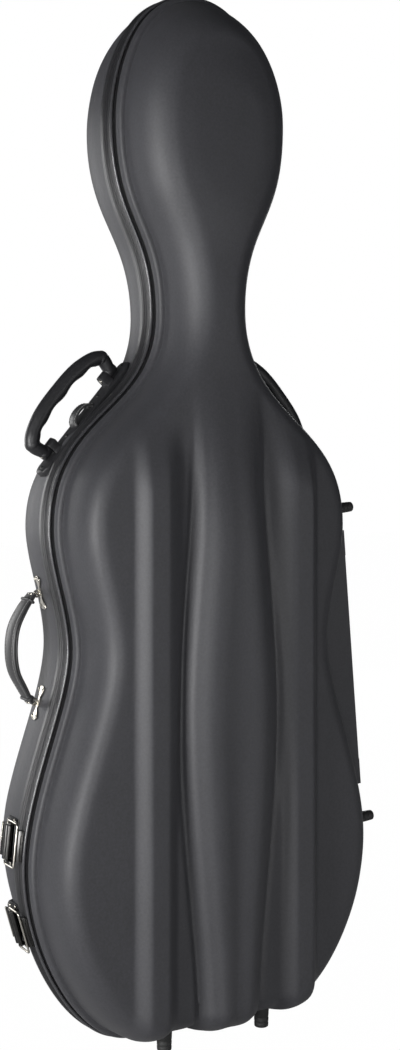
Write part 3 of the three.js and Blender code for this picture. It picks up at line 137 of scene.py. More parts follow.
def white_to_camera(tree, lit, white, output, share):
    """Shows the camera the white shader, and everything else the lit one."""
    seen = add_node(tree, "ShaderNodeLightPath").outputs["Is Camera Ray"]
    shaders = {"Fac": maths(tree, "MULTIPLY", seen, share), 1: lit.outputs[0], 2: white.outputs[0]}
    mixed = add_node(tree, "ShaderNodeMixShader", shaders)
    feed(tree, found(tree, output), {"Surface": mixed.outputs[0]})


def new_material(name):
    material = bpy.data.materials.new(name)
    material.use_nodes = True
    return material, material.node_tree, found(material.node_tree, "BSDF_PRINCIPLED")


white_light = {"Color": (1, 1, 1, 1), "Strength": 1}
studio_world = bpy.data.worlds.new("studio_air")
bpy.context.scene.world = studio_world
studio_world.use_nodes = True
air = studio_world.node_tree
air_lit = feed(air, found(air, "BACKGROUND"), {"Color": (0.86, 0.9, 1, 1), "Strength": 0.05})
white_to_camera(air, air_lit, add_node(air, "ShaderNodeBackground", white_light), "OUTPUT_WORLD", 1)

floor_paint, paint, paint_lit = new_material("pale_floor")
feed(paint, paint_lit, {"Base Color": (0.9, 0.9, 0.9, 1), "Roughness": 0.9})
paint_white = add_node(paint, "ShaderNodeEmission", white_light)
white_to_camera(paint, paint_lit, paint_white, "OUTPUT_MATERIAL", 0.995)
floor_mesh = bpy.data.meshes.new("studio_floor")
floor_mesh.from_pydata([(-9, -9, 0), (9, -9, 0), (9, 9, 0), (-9, 9, 0)], [], [(0, 1, 2, 3)])
floor_mesh.materials.append(floor_paint)
floor = put("studio_floor", floor_mesh)

# Rear shell: a deep dome vacuum formed from hard sheet and covered with thin black leatherette,
# wrapped over the edge. It is softer and shallower towards the bottom and boxier at the head.
outline_knots = [(100, 0), (237, 228), (176.5, 490), (202.5, 641), (57.5, 911), (116, 1156), (0, 1323)]
outline_reaches = [(0.46, 0.47), (0.35, 0.26), (0.32, 0.31), (0.55, 0.48), (0.47, 0.54), (0.36, 0.74)]
outline_steps = [46, 44, 26, 48, 40, 36]
level_steps = 34
lower_height, upper_height, neck_height, head_height, case_height = 228, 641, 911, 1156, 1323
panel_inset = 46
spine_top = case_height - 0.9 * 116
base_spine_low, boxy_above = 0.62 * lower_height, 1.3 * lower_height
bottom_depth, body_depth, neck_depth, head_depth = 88, 150, 78, 127
shell_start, dome_reach = 8.3, 150


def draw_outline():
    """Stations up the right side and down the left: x, z and outward direction."""
    right = [(x, 0.0, 0.0, -1.0) for x in np.linspace(0, outline_knots[0][0], level_steps, endpoint=False)]
    for i, (start, end) in enumerate(outline_reaches):
        a, d = (np.array(outline_knots[i + j], float) for j in (0, 1))
        b, c = a.copy(), d.copy()
        b[0 if i == 0 else 1] += start * (d - a)[0 if i == 0 else 1]
        c[0 if i == 5 else 1] -= end * (d - a)[0 if i == 5 else 1]
        last = i == len(outline_reaches) - 1
        for t in np.linspace(0, 1, outline_steps[i] + (1 if last else 0), endpoint=last):
            s = 1 - t
            p = s**3 * a + 3 * s * s * t * b + 3 * s * t * t * c + t**3 * d
            v = 3 * s * s * (b - a) + 6 * s * t * (c - b) + 3 * t * t * (d - c)
            v /= np.hypot(*v)
            right.append((p[0], p[1], v[1], -v[0]))
    right[-1] = (0, case_height, 0, 1)
    left = [(-x, z, -nx, nz) for x, z, nx, nz in right[-2:0:-1]]
    return np.array(right + left)


outline = draw_outline()
outline_x, outline_z, outline_nx, outline_nz = outline.T
right_count = level_steps + sum(outline_steps) + 1
right_side = slice(level_steps, right_count)


def ease(start, end, value):
    share = np.clip((value - start) / (end - start), 0, 1)
    return share * share * (3 - 2 * share)


def mix(a, b, share):
    return a + (b - a) * share


def half_width(z):
    return np.interp(z, outline_z[right_side], outline_x[right_side])


def spine_height(spine_low):
    return np.clip(outline_z - outline_nz * panel_inset, spine_low, spine_top)


def lean(z, at_bottom, at_top, reach_bottom, reach_top):
    bottom = at_bottom * np.maximum(1 - z / reach_bottom, 0)
    return bottom - at_top * np.maximum(1 - (case_height - z) / reach_top, 0)


def rounded(inset, reach, power):
    left = 1 - np.clip(inset / reach, 0, 1)
    return (1 - left**power) ** (1 / power)


def rim_ring(out, y):
    """The outline moved outwards, at one depth."""
    x, z = outline_x + outline_nx * out, outline_z + outline_nz * out
    return np.stack([x, np.full(len(outline), float(y)), z], 1)


def skin_rows(insets, shares, place, spine_low):
    """Rows of points over a half: square to the rim first, then on towards the spine."""
    rows = []
    for inset in insets:
        x, z = outline_x - outline_nx * inset, outline_z - outline_nz * inset
        rows.append(place(x, z, np.full(len(outline), inset, float)))
    spine = spine_height(spine_low)
    length = np.hypot(x, z - spine)
    for share in shares:
        rows.append(place(x * share, spine + (z - spine) * share, insets[-1] + length * (1 - share)))
    return rows


def rows_to_mesh(rows, cyclic=False):
    """Quads between rows of points that each run round the case."""
    rows = np.array(rows)
    count, around = rows.shape[:2]
    here = np.arange(around)
    ahead = np.roll(here, -1)
    faces = []
    for k in range(count if cyclic else count - 1):
        low, high = k * around, ((k + 1) % count) * around
        faces += np.stack([low + here, low + ahead, high + ahead, high + here], 1).tolist()
    return rows.reshape(-1, 3), faces


def drawn_mesh(name, points, faces=(), edges=()):
    """A mesh in the frame's metres from points of the drawing."""
    mesh = bpy.data.meshes.new(name)
    mesh.from_pydata(((np.asarray(points, float) + drawing_place) / 1000).tolist(), edges, faces)
    return mesh


def declare(name, mesh, work, body, finish, stands_for, angle):
    """Ends a piece: smooth but for its sharp edges, painted, and riding on its body."""
    for face in work.faces:
        face.smooth = True
    for edge in work.edges:
        edge.smooth = not (len(edge.link_faces) == 2 and edge.calc_face_angle(0) > math.radians(angle))
    work.to_mesh(mesh)
    work.free()
    material_slot, material = finish
    mesh.materials.append(material)
    piece = put(name, mesh)
    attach(piece, body)
    if stands_for:
        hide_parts(*stands_for)
    return piece


def make_piece(name, points, faces, body, finish, stands_for=(), angle=60):
    """A piece from points of the drawing, merged and facing out."""
    mesh = drawn_mesh(name, points, faces)
    work = bmesh.new()
    work.from_mesh(mesh)
    bmesh.ops.remove_doubles(work, verts=work.verts, dist=2e-5)
    bmesh.ops.dissolve_degenerate(work, edges=work.edges, dist=1e-6)
    bmesh.ops.recalc_face_normals(work, faces=work.faces)
    return declare(name, mesh, work, body, finish, stands_for, angle)


def base_depth(z):
    body = mix(bottom_depth, body_depth, ease(0, boxy_above, z))
    neck = mix(body, neck_depth, ease(upper_height, neck_height, z))
    return mix(neck, head_depth, ease(neck_height, head_height, z))


def dome_power(z):
    return mix(1.6, 2.3, ease(0.2 * lower_height, boxy_above, z))


def base_place(wall):
    spine = spine_height(base_spine_low)
    reach = np.minimum(dome_reach, np.hypot(outline_x, outline_z - spine))

    def place(x, z, inset):
        share = rounded(np.maximum(inset - wall, 0), reach - wall, dome_power(z))
        back = base_depth(z) - wall
        y = shell_start + (back - shell_start) * share
        return np.stack([x, y, z + share * lean(z, 30, 16, 220, 220)], 1)

    return place


def base_skin(wall, fine=1.0):
    insets = wall + np.linspace(0, 1, int(16 * fine)) ** 1.7 * (panel_inset - wall)
    return skin_rows(insets, np.linspace(1, 0, int(34 * fine))[1:], base_place(wall), base_spine_low)


def effect_group(name, numbers, results):
    """A shared shader effect of a place and some numbers."""
    group = bpy.data.node_groups.new(name, "ShaderNodeTree")
    add_socket = group.interface.new_socket
    add_socket(name="Place", in_out="INPUT", socket_type="NodeSocketVector")
    for label, value in numbers.items():
        add_socket(name=label, in_out="INPUT", socket_type="NodeSocketFloat").default_value = value
    for label in results:
        add_socket(name=label, in_out="OUTPUT", socket_type="NodeSocketFloat")
    return group, group.nodes.new("NodeGroupInput").outputs, group.nodes.new("NodeGroupOutput")


def noise(tree, place, scale, detail, **more):
    inputs = {"Vector": place, "Scale": scale, "Detail": detail, **more}
    return add_node(tree, "ShaderNodeTexNoise", inputs).outputs["Fac"]


# Pressed grain of the leatherette and the strap leather: small pebbles with creases between them
# and a slow change of tone from one part of the sheet to the next.
grain_effect, grain_in, grain_out = effect_group(
    "pressed_grain", {"Pebble Size": 900, "Crease": 0.5}, ("Height", "Tone", "Gloss")
)
grain_place = grain_in["Place"]
pebble_inputs = {"Vector": grain_place, "Scale": grain_in["Pebble Size"]}
pebbles = add_node(grain_effect, "ShaderNodeTexVoronoi", pebble_inputs, feature="SMOOTH_F1")
warp = noise(grain_effect, grain_place, 240, 4)
cloud = noise(grain_effect, grain_place, 7, 6, Roughness=0.62)
fleck = noise(grain_effect, grain_place, 330, 2)
creased = maths(grain_effect, "MULTIPLY", pebbles.outputs["Distance"], grain_in["Crease"])
slow_tone = maths(grain_effect, "MULTIPLY_ADD", cloud, 0.7, -0.5)
feed(grain_effect, grain_out, {
    "Height": maths(grain_effect, "ADD", creased, maths(grain_effect, "MULTIPLY", warp, 0.6)),
    "Tone": maths(grain_effect, "MULTIPLY_ADD", fleck, 1.3, slow_tone),
    "Gloss": maths(grain_effect, "MULTIPLY_ADD", cloud, 0.5, 0.25),
})


def placed_material(name):
    """A new material, and the object's own coordinates in its tree."""
    material, tree, shade = new_material(name)
    return material, tree, shade, add_node(tree, "ShaderNodeTexCoord").outputs["Object"]


def paint_surface(tree, shade, dark, light, tone, height, bump, distance, more):
    """Tone between two colours, and bumps of a given strength and depth."""
    shares = {"A": (*dark, 1), "B": (*light, 1), "Factor": tone}
    colour = add_node(tree, "ShaderNodeMix", shares, data_type="RGBA").outputs["Result"]
    bumps = add_node(tree, "ShaderNodeBump", {"Strength": bump, "Distance": distance, "Height": height})
    feed(tree, shade, {"Base Color": colour, "Normal": bumps.outputs["Normal"], **more})


def grained_finish(slot, name, dark, light, roughness, pebble, crease, bump, sheen=0.0, specular=0.5):
    """A material slot and its grained finish: gloss that drifts, and pebbled bumps."""
    material, tree, shade, where = placed_material(name)
    sizes = {"Place": where, "Pebble Size": pebble, "Crease": crease}
    grain = add_node(tree, "ShaderNodeGroup", sizes, node_tree=grain_effect).outputs
    paint_surface(tree, shade, dark, light, grain["Tone"], grain["Height"], bump, 0.0004, {
        "Roughness": maths(tree, "MULTIPLY_ADD", grain["Gloss"], 0.16, roughness - 0.08),
        "Specular IOR Level": specular,
        "Sheen Weight": sheen,
        "Sheen Roughness": 0.5,
    })
    return slot, material


leatherette = grained_finish(
    "leatherette", "black_leatherette", (0.026, 0.026, 0.029), (0.046, 0.046, 0.052),
    0.54, 900, 0.5, 0.4, sheen=0.02,
)
base_rows = base_skin(0)[::-1] + base_skin(4, 0.5)
make_piece("rear_shell", *rows_to_mesh(base_rows), "case_base", leatherette, ["base_shell"])


def band_round(name, profile, body, finish, stands_for=(), angle=40):
    """A strip that runs round the whole rim. The profile's points are outward offset and Y."""
    rows = [rim_ring(*point) for point in profile]
    return make_piece(name, *rows_to_mesh(rows, cyclic=True), body, finish, stands_for, angle)


# Binding of the rear shell: a moulded plastic strip pressed over the shell's edge all the way
# round. A hollow rubber seal sits inside it and closes against the lid.
def arc_points(centre, radius, start, end, steps):
    turns = np.radians(np.linspace(start, end, steps))
    return [(centre[0] + radius * math.cos(t), centre[1] + radius * math.sin(t)) for t in turns]


binding_plastic = grained_finish(
    "binding", "moulded_binding", (0.014, 0.014, 0.015), (0.026, 0.026, 0.028), 0.36, 2200, 0.15, 0.05
)
binding_profile = [(-5, binding_front), (-5, 8), (-0.2, 8)]
binding_profile += arc_points((0.2, 7), 1, 75, 0, 4) + arc_points((0.2, binding_proud), 1, 0, -85, 4)
band_round("rear_binding", binding_profile, "case_base", binding_plastic, ["base_rim"])
seal_rubber = grained_finish(
    "rubber", "seal_rubber", (0.012, 0.012, 0.012), (0.022, 0.022, 0.022), 0.7, 1600, 0.1, 0.08
)
seal_profile = [(-8.55, 7), (-5.65, 7), (-5.65, -1.6)] + arc_points((-7.1, -1.9), 1.45, 0, -180, 9)
band_round("rim_seal_tube", seal_profile, "case_base", seal_rubber, ["rim_seal"], angle=60)

# Lid: hard sheet formed in one piece with two broad ribs, a waisted column between them that makes
# room for the bridge, and a raised oval on the head. The leatherette is turned in round its edge,
# which leaves a soft strip and a fine groove beside the edge profile.
lid_edge = 30.4
flank_start = 42.4
spine_steps = 96


def rib_rise(x, z):
    away = np.abs(x)
    outer = 133
    inner = mix(74, 63, ease(250, 450, z))
    climb = ease(outer + 4, outer - 15, away)
    fall = 1 - 0.1 * np.clip((outer - away) / 42, 0, 1) ** 2
    drop = ease(inner, 97, away)
    return 15 * climb * fall * drop * ease(790 - 0.35 * (away - 80), 700 - 0.5 * (away - 80), z)


def column_half(z):
    return mix(mix(43, 71, ease(0, 412, z)), 52, ease(412, 722, z))


def column_rise(x, z):
    half = column_half(z)
    away = np.abs(x)
    side = 1 - (1 - np.clip((half - away) / 52, 0, 1)) ** 2.5
    hollow = mix(6.5, 2, ease(150, 560, z)) * ease(half - 20, 0, away)
    welt = 1.2 * np.exp(-(((away - half + 10) / 4.2) ** 2))
    return (29 * side - hollow + welt) * ease(862, 600, z)


def valley_fall(x, z):
    """The covering is pressed into a narrow line where the column starts."""
    return 3.8 * np.exp(-(((np.abs(x) - column_half(z) - 1) / 5.6) ** 2)) * ease(760, 660, z)


def oval_rise(x, z):
    return 6 * ease(1.15, 0.5, np.hypot(x / 92, (z - 1134) / 140))


def panel_depth(z):
    return mix(mix(112, 104, ease(upper_height, neck_height, z)), 106, ease(neck_height, head_height, z))


def lid_place(wall, ribs=True):
    bottom_pull = np.minimum(outline_nz, 0)

    def place(x, z, inset):
        crown = 5 * (1 - np.minimum((x / np.maximum(half_width(z), 57.5)) ** 2, 1))
        column = column_rise(x, z)
        rib = rib_rise(x, z) if ribs else 0 * x
        raised = np.maximum(column, rib) + oval_rise(x, z) - (valley_fall(x, z) if ribs else 0)
        front = panel_depth(z) + crown + raised - wall
        above_neck = ease(700, 950, z)
        share = rounded(np.maximum(inset - 7 - wall, 0), mix(32, 41, above_neck), mix(3, 2.3, above_neck))
        lobe = 7 * raised / 29 * share * (1 - share) * 4 if ribs else 0
        depth = flank_start + (front - flank_start) * share
        return np.stack([x, -depth, z + share * lean(z, 14, 30, 150, 150) + lobe * bottom_pull], 1)

    return place


def lid_skin(wall, ribs, fine):
    edge = 7 + wall
    insets = edge + np.linspace(0, 1, int(30 * fine)) ** 1.9 * (panel_inset - edge)
    shares = np.linspace(1, 0, int(spine_steps * fine))[1:]
    return skin_rows(insets, shares, lid_place(wall, ribs), panel_inset)


turned_edge = [(0.9, lid_edge), (0.1, 31.2), (0, 33), (0.2, 37), (0.9, 39.4), (2.2, 41)]
turned_edge += [(4.2, 41.8), (5.9, 42), (6.5, 42.2)]
inner_edge = [(9, lid_edge), (9, 36)]
lid_rows = lid_skin(0, True, 1)[::-1]
lid_rows += [rim_ring(-inset, -depth) for inset, depth in turned_edge[::-1] + inner_edge]
lid_rows += lid_skin(6, False, 0.3)
make_piece("lid_panel", *rows_to_mesh(lid_rows), "lid", leatherette, ["lid_shell"])

# Edge profile of the lid: a moulded strip with a ridge that lands on the rear shell's binding, a
# channel with two fine lines, and a seat for the glossy piping that hides the end of the covering.
lid_profile = [(-5, -0.15), (3, -0.15)]
lid_profile += arc_points((2.9, -1.3), 1.1, 90, 0, 4) + arc_points((2.9, -4.4), 1.1, 0, -80, 4)
lid_profile += [(1.4, -6), (0.7, -6.4), (1, -7.2), (1, -9.4), (0.2, -9.9), (0.2, -10.3), (1, -10.8)]
lid_profile += [(1, -13.6), (0.2, -14.1), (0.2, -14.5), (1, -15), (1, -18.6), (0.6, -19), (-1.2, -19)]
lid_profile += [(-1.2, -23.4), (-4, -23.4), (-4, -30.1), (-8, -30.1)]
band_round("lid_edge_profile", lid_profile, "lid", binding_plastic, ["lid_rim"])
piping_gloss = grained_finish(
    "piping", "glossy_piping", (0.03, 0.03, 0.032), (0.06, 0.06, 0.065), 0.2, 2600, 0.1, 0.03, specular=0.7
)
piping_profile = arc_points((1.3, -21.5), 2.05, 0, -330, 12)
band_round("lid_piping_bead", piping_profile, "lid", piping_gloss, ["lid_piping"], angle=180)

# Linings: short grey-black plush over foam, laid into each half up to its rim. They follow the
# form of the two halves from inside.
fibre_effect, fibre_in, fibre_out = effect_group("plush_pile", {"Pile Size": 1400}, ("Height", "Tone"))
pile = noise(fibre_effect, fibre_in["Place"], fibre_in["Pile Size"], 3)
nap = noise(fibre_effect, fibre_in["Place"], 22, 5, Distortion=0.8)
slow_nap = maths(fibre_effect, "MULTIPLY", nap, 0.55)
feed(fibre_effect, fibre_out, {
    "Height": maths(fibre_effect, "MULTIPLY_ADD", nap, 0.5, pile),
    "Tone": maths(fibre_effect, "MULTIPLY_ADD", pile, 0.45, slow_nap),
})
plush_cloth, cloth_tree, cloth_shade, cloth_place = placed_material("lining_plush")
fibre = add_node(cloth_tree, "ShaderNodeGroup", {"Place": cloth_place}, node_tree=fibre_effect).outputs
plush_dark, plush_light = (0.03, 0.032, 0.04), (0.075, 0.078, 0.095)
paint_surface(cloth_tree, cloth_shade, plush_dark, plush_light, fibre["Tone"], fibre["Height"], 0.5, 0.0008, {
    "Roughness": 0.95, "Specular IOR Level": 0.15, "Sheen Weight": 0.4, "Sheen Roughness": 0.4,
})
plush = ("plush", plush_cloth)
base_lining_rows = base_skin(4.4, 0.6)[::-1] + base_skin(12, 0.6)
make_piece("rear_lining", *rows_to_mesh(base_lining_rows), "case_base", plush, ["base_lining"])
lid_lining_rows = lid_skin(6.4, False, 0.5)[::-1] + lid_skin(12, False, 0.5)
make_piece("lid_lining_plush", *rows_to_mesh(lid_lining_rows), "lid", plush, ["lid_lining"])


# Shared ways of making hardware: prisms with rounded edges, turned parts, and node trees that run a
# round bead or a row of small items along a path.
def final_mesh(holder):
    """The mesh that an object's modifiers make of it. The object itself is removed."""
    seen = holder.evaluated_get(bpy.context.evaluated_depsgraph_get())
    result = bpy.data.meshes.new_from_object(seen)
    bpy.data.objects.remove(holder)
    return result


def settled(name, mesh, body, finish, stands_for, prepare, angle):
    """Applies the modifiers that prepare adds, and turns the result into a plain piece."""
    holder = put(name + "_blank", mesh)
    prepare(holder)
    result = final_mesh(holder)
    result.name = name
    result.materials.clear()
    work = bmesh.new()
    work.from_mesh(result)
    return declare(name, result, work, body, finish, stands_for, angle)


def local_axes(origin, out, along, front=(0, -1, 0)):
    """Axes of a fitting: out of the wall, towards the lid and along the rim, at an origin."""
    return np.array(origin, float), np.array([out, front, along], float)


def rim_axes(side, z, y=0.0):
    i = np.interp(z, outline_z[right_side], np.arange(level_steps, right_count))
    low = int(i)
    high, share = min(low + 1, right_count - 1), i - low
    nx, nz = (mix(n[low], n[high], share) for n in (outline_nx, outline_nz))
    length = math.hypot(nx, nz)
    out = (side * nx / length, 0, nz / length)
    return local_axes((side * half_width(z), y, z), out, (-side * out[2], 0, side * out[0]))


def placed(points, axes):
    origin, basis = axes
    return origin + np.asarray(points, float) @ basis


def prism(outline, low, high, order):
    """Points and faces of a straight prism. The order says which local axes its three numbers are."""
    count = len(outline)
    points = [(a, b, low) for a, b in outline] + [(a, b, high) for a, b in outline]
    faces = [tuple(range(count))[::-1], tuple(range(count, 2 * count))]
    faces += [(i, (i + 1) % count, count + (i + 1) % count, count + i) for i in range(count)]
    points = np.array(points)[:, [order.index(k) for k in "oyl"]]
    return points, faces


def loft(sections):
    """A closed body through rings of points, capped at both ends."""
    sections = np.array(sections)
    count, around = sections.shape[:2]
    points, faces = rows_to_mesh(sections)
    faces = faces + [tuple(range(around))[::-1], tuple(range((count - 1) * around, count * around))]
    return points, faces


def lathe(profile, steps=40):
    """A turned body about the out axis, from points of (out, radius)."""
    turns = np.linspace(0, 2 * np.pi, steps, endpoint=False)
    c, s, flat = np.cos(turns), np.sin(turns), np.ones(steps)
    return loft([np.stack([o * flat, r * c, r * s], 1) for o, r in profile])


def turned_about_along(profile, steps=32, shift=(0, 0, 0)):
    """A turned body about the along axis, moved by a shift."""
    points, faces = lathe(profile, steps)
    return points[:, [1, 2, 0]] + np.array(shift), faces


def gather(parts):
    points, faces, start = [], [], 0
    for part_points, part_faces in parts:
        points.append(np.asarray(part_points, float))
        faces += [tuple(start + i for i in face) for face in part_faces]
        start += len(part_points)
    return np.concatenate(points), faces


def fitting(name, parts, axes, body, finish, stands_for=(), bevel=0.0, angle=40):
    """A fitting made of one or more solids, its sharp edges rounded."""
    points, faces = gather(parts)
    mesh = drawn_mesh(name + "_blank", placed(points, axes), faces)
    work = bmesh.new()
    work.from_mesh(mesh)
    bmesh.ops.recalc_face_normals(work, faces=work.faces)
    work.to_mesh(mesh)
    work.free()

    def rounding(holder):
        if bevel:
            edge = holder.modifiers.new("rounding", "BEVEL")
            edge.width = bevel / 1000
            edge.segments = 3
            edge.limit_method = "ANGLE"
            edge.angle_limit = math.radians(35)

    return settled(name, mesh, body, finish, stands_for, rounding, angle)


def node_tree(name, inputs):
    """A geometry tree with its input's outputs and its output."""
    tree = bpy.data.node_groups.new(name, "GeometryNodeTree")
    add_socket = tree.interface.new_socket
    add_socket(name="Geometry", in_out="OUTPUT", socket_type="NodeSocketGeometry")
    for label, kind in [("Geometry", "Geometry")] + inputs + [("Material", "Material")]:
        add_socket(name=label, in_out="INPUT", socket_type="NodeSocket" + kind)
    return tree, tree.nodes.new("NodeGroupInput").outputs, tree.nodes.new("NodeGroupOutput")


def end_tree(tree, start, end, geometry):
    real = add_node(tree, "GeometryNodeRealizeInstances", {0: geometry}).outputs[0]
    painted = {"Geometry": real, "Material": start["Material"]}
    feed(tree, end, {0: add_node(tree, "GeometryNodeSetMaterial", painted).outputs[0]})


def end_with_items(tree, start, end, points, rotation):
    item = add_node(tree, "GeometryNodeObjectInfo", {"Object": start["Item"]}, transform_space="ORIGINAL")
    inputs = {"Points": points, "Rotation": rotation, "Instance": item.outputs["Geometry"]}
    end_tree(tree, start, end, add_node(tree, "GeometryNodeInstanceOnPoints", inputs).outputs[0])


bead_tree, start, end = node_tree("bead_along_path", [("Radius", "Float"), ("Sides", "Int")])
path = add_node(bead_tree, "GeometryNodeMeshToCurve", {"Mesh": start["Geometry"]}).outputs[0]
circle = {"Radius": start["Radius"], "Resolution": start["Sides"]}
ring = add_node(bead_tree, "GeometryNodeCurvePrimitiveCircle", circle).outputs[0]
sweep = {"Curve": path, "Profile Curve": ring, "Fill Caps": True}
end_tree(bead_tree, start, end, add_node(bead_tree, "GeometryNodeCurveToMesh", sweep).outputs[0])

row_tree, start, end = node_tree("items_along_path", [("Spacing", "Float"), ("Item", "Object")])
path = add_node(row_tree, "GeometryNodeMeshToCurve", {"Mesh": start["Geometry"]}).outputs[0]
steps = {"Curve": path, "Length": start["Spacing"]}
spots = add_node(row_tree, "GeometryNodeCurveToPoints", steps, mode="LENGTH").outputs
end_with_items(row_tree, start, end, spots["Points"], spots["Rotation"])

spot_tree, start, end = node_tree("items_on_points", [("Item", "Object")])
facing = add_node(spot_tree, "GeometryNodeInputNamedAttribute", {"Name": "facing"}, data_type="FLOAT_VECTOR")
aim = {"Vector": facing.outputs["Attribute"]}
turn = add_node(spot_tree, "FunctionNodeAlignRotationToVector", aim, axis="Z").outputs[0]
end_with_items(spot_tree, start, end, start["Geometry"], turn)


def grown(name, mesh, tree, settings, body, finish, stands_for=(), angle=40):
    """What a node tree makes of a mesh. The settings go by the names of the tree's inputs."""
    values = {**settings, "Material": finish[1]}

    def add_nodes(holder):
        nodes = holder.modifiers.new(name, "NODES")
        nodes.node_group = tree
        for item in tree.interface.items_tree:
            if item.in_out == "INPUT" and item.name in values:
                nodes[item.identifier] = values[item.name]

    return settled(name, mesh, body, finish, stands_for, add_nodes, angle)


def path_mesh(name, paths):
    """Edges through each path's points. A path whose ends meet is closed."""
    points, edges = [], []
    for path in paths:
        path = np.asarray(path, float)
        gap = path[0] - path[-1]
        closed = np.hypot(gap[0], gap[2]) < 1e-6 and abs(gap[1]) < 1e-6
        path = path[:-1] if closed else path
        start = len(points)
        points += path.tolist()
        edges += [(start + i, start + i + 1) for i in range(len(path) - 1)]
        if closed:
            edges.append((start + len(path) - 1, start))
    return drawn_mesh(name + "_path", points, edges=edges)


def bead(name, paths, radius, body, finish, stands_for=()):
    settings = {"Radius": radius / 1000, "Sides": 16}
    return grown(name, path_mesh(name, paths), bead_tree, settings, body, finish, stands_for, 60)


def rounded_path(corners, radius):
    """A path with its inner corners rounded off."""
    corners = [np.asarray(c, float) for c in corners]
    path = [corners[0]]
    for before, corner, after in zip(corners, corners[1:], corners[2:]):
        a = corner + (before - corner) / np.linalg.norm(before - corner) * radius
        b = corner + (after - corner) / np.linalg.norm(after - corner) * radius
        for t in np.linspace(0, 1, 6):
            path.append((1 - t) ** 2 * a + 2 * t * (1 - t) * corner + t * t * b)
    return np.array(path + [corners[-1]])


def item_shape(name, points, faces):
    """A small shape, in millimetres about its own Z, that a node tree repeats."""
    mesh = bpy.data.meshes.new(name)
    mesh.from_pydata((np.asarray(points, float) / 1000).tolist(), [], faces)
    return bpy.data.objects.new(name, mesh)


stitch_profile = [(-1.5, 0.05), (-1.3, 0.3), (-0.7, 0.42), (0.7, 0.42), (1.3, 0.3), (1.5, 0.05)]
stitch_item = item_shape("stitch_item", *turned_about_along(stitch_profile, 8))
rivet_profile = [(-0.6, 2.4), (0, 2.4), (0.35, 2.3), (0.75, 1.9), (1.05, 1.2), (1.2, 0.4), (1.22, 0.05)]
rivet_item = item_shape("rivet_item", *turned_about_along(rivet_profile, 24))


def stitches(name, paths, spacing, body, finish):
    settings = {"Spacing": spacing / 1000, "Item": stitch_item}
    return grown(name, path_mesh(name, paths), row_tree, settings, body, finish, angle=70)


def rivets(name, spots, body, finish):
    """Domed rivet heads: spots are pairs of a point and the way it faces."""
    mesh = drawn_mesh(name + "_spots", [point for point, _ in spots])
    facing = mesh.attributes.new("facing", "FLOAT_VECTOR", "POINT")
    facing.data.foreach_set("vector", np.concatenate([np.asarray(f, float) for _, f in spots]))
    return grown(name, mesh, spot_tree, {"Item": rivet_item}, body, finish, angle=50)


def wall_inset(z, y):
    """How far the rear wall has come in from the rim's outline at a depth behind it."""
    x = half_width(z)
    _, basis = rim_axes(1, z)
    spine = np.clip(z - basis[0][2] * panel_inset, base_spine_low, spine_top)
    reach = min(dome_reach, math.hypot(x, z - spine))
    share = (y - shell_start) / (base_depth(z) - shell_start)
    power = dome_power(z)
    return float(reach * (1 - (1 - max(share, 0) ** power) ** (1 / power)))


def in_drawing(box):
    """The two corners of a box, in the drawing."""
    return [1000 * np.array(corner) - drawing_place for corner in box]


joint_places = {}
for joint in frame["joints"]:
    place = np.array(joint["pos_m"], float) * 1000 - drawing_place
    joint_places[joint["name"]] = (place, np.array(joint["axis"], float))


# Metals of the fittings: bright nickel with a warm tone and fine wear, and a darker one for the
# latches' plates and levers.
def metal_finish(name, dark, light, roughness):
    material, tree, shade, where = placed_material(name)
    scuffs = noise(tree, where, 160, 7, Roughness=0.7)
    gloss = maths(tree, "MULTIPLY_ADD", scuffs, 0.18, roughness - 0.09)
    more = {"Roughness": gloss, "Metallic": 1}
    paint_surface(tree, shade, dark, light, scuffs, scuffs, 0.06, 0.0002, more)
    return "steel", material


nickel = metal_finish("bright_nickel", (0.5, 0.47, 0.41), (0.74, 0.71, 0.64), 0.2)
dark_nickel = metal_finish("dark_nickel", (0.035, 0.035, 0.035), (0.085, 0.083, 0.08), 0.3)

# Waist hinge on the right: two leaves of moulded plastic whose knuckles interlock on a steel pin.
# They lie under the rims' edge and are riveted to the shells. Their shape is the frame's own.
hinge_finishes = {"hinge_leaf_base": leatherette, "hinge_leaf_lid": leatherette, "hinge_pin": nickel}
for leaf, (_, material) in hinge_finishes.items():
    node = frame["nodes"][leaf]
    node.data.materials.clear()
    node.data.materials.append(material)


def wall_spot(side, z, y, proud=0.0):
    """A point on the rear wall's outside and the way the wall faces there."""
    origin, basis = rim_axes(side, z)
    inset = wall_inset(z, y)
    slope = (wall_inset(z, y + 2) - wall_inset(z, y - 2)) / 4
    facing = basis[0] + np.array([0, slope, 0])
    facing /= np.linalg.norm(facing)
    return origin + np.array([0, y, 0]) - basis[0] * inset + facing * proud, facing


hinge_spots = [wall_spot(1, z, 34, 3.1) for z in np.linspace(312, 603, 6)]
rivets("hinge_rivets", hinge_spots, "case_base", dark_nickel)

# Carrying strap at the left waist: folded leather with padding, sewn along both edges. Each end
# is wrapped round a steel ring that hangs in the eye of a riveted star-shaped bracket.
strap_place, strap_axis = joint_places["strap_swing"]
strap_eyes = [strap_place + strap_axis * s * 68.55 for s in (-1, 1)]
strap_out = np.array([-strap_axis[2], 0, strap_axis[0]])
rear_way = np.array([0, 1, 0])
star = [(1, 0.42), (0.86, 1), (0.66, 0.86), (0.3, 0.3), (-0.3, 0.3), (-0.66, 0.86), (-0.86, 1), (-1, 0.42)]
star_outline = [(b * 11, a * 22) for a, b in star] + [(-b * 11, -a * 22) for a, b in star]


def circle_path(middle, radius, first, second):
    """A closed circle in the plane of two directions."""
    turns = np.linspace(0, 2 * np.pi, 33)
    return [middle + radius * (math.cos(t) * first + math.sin(t) * second) for t in turns]


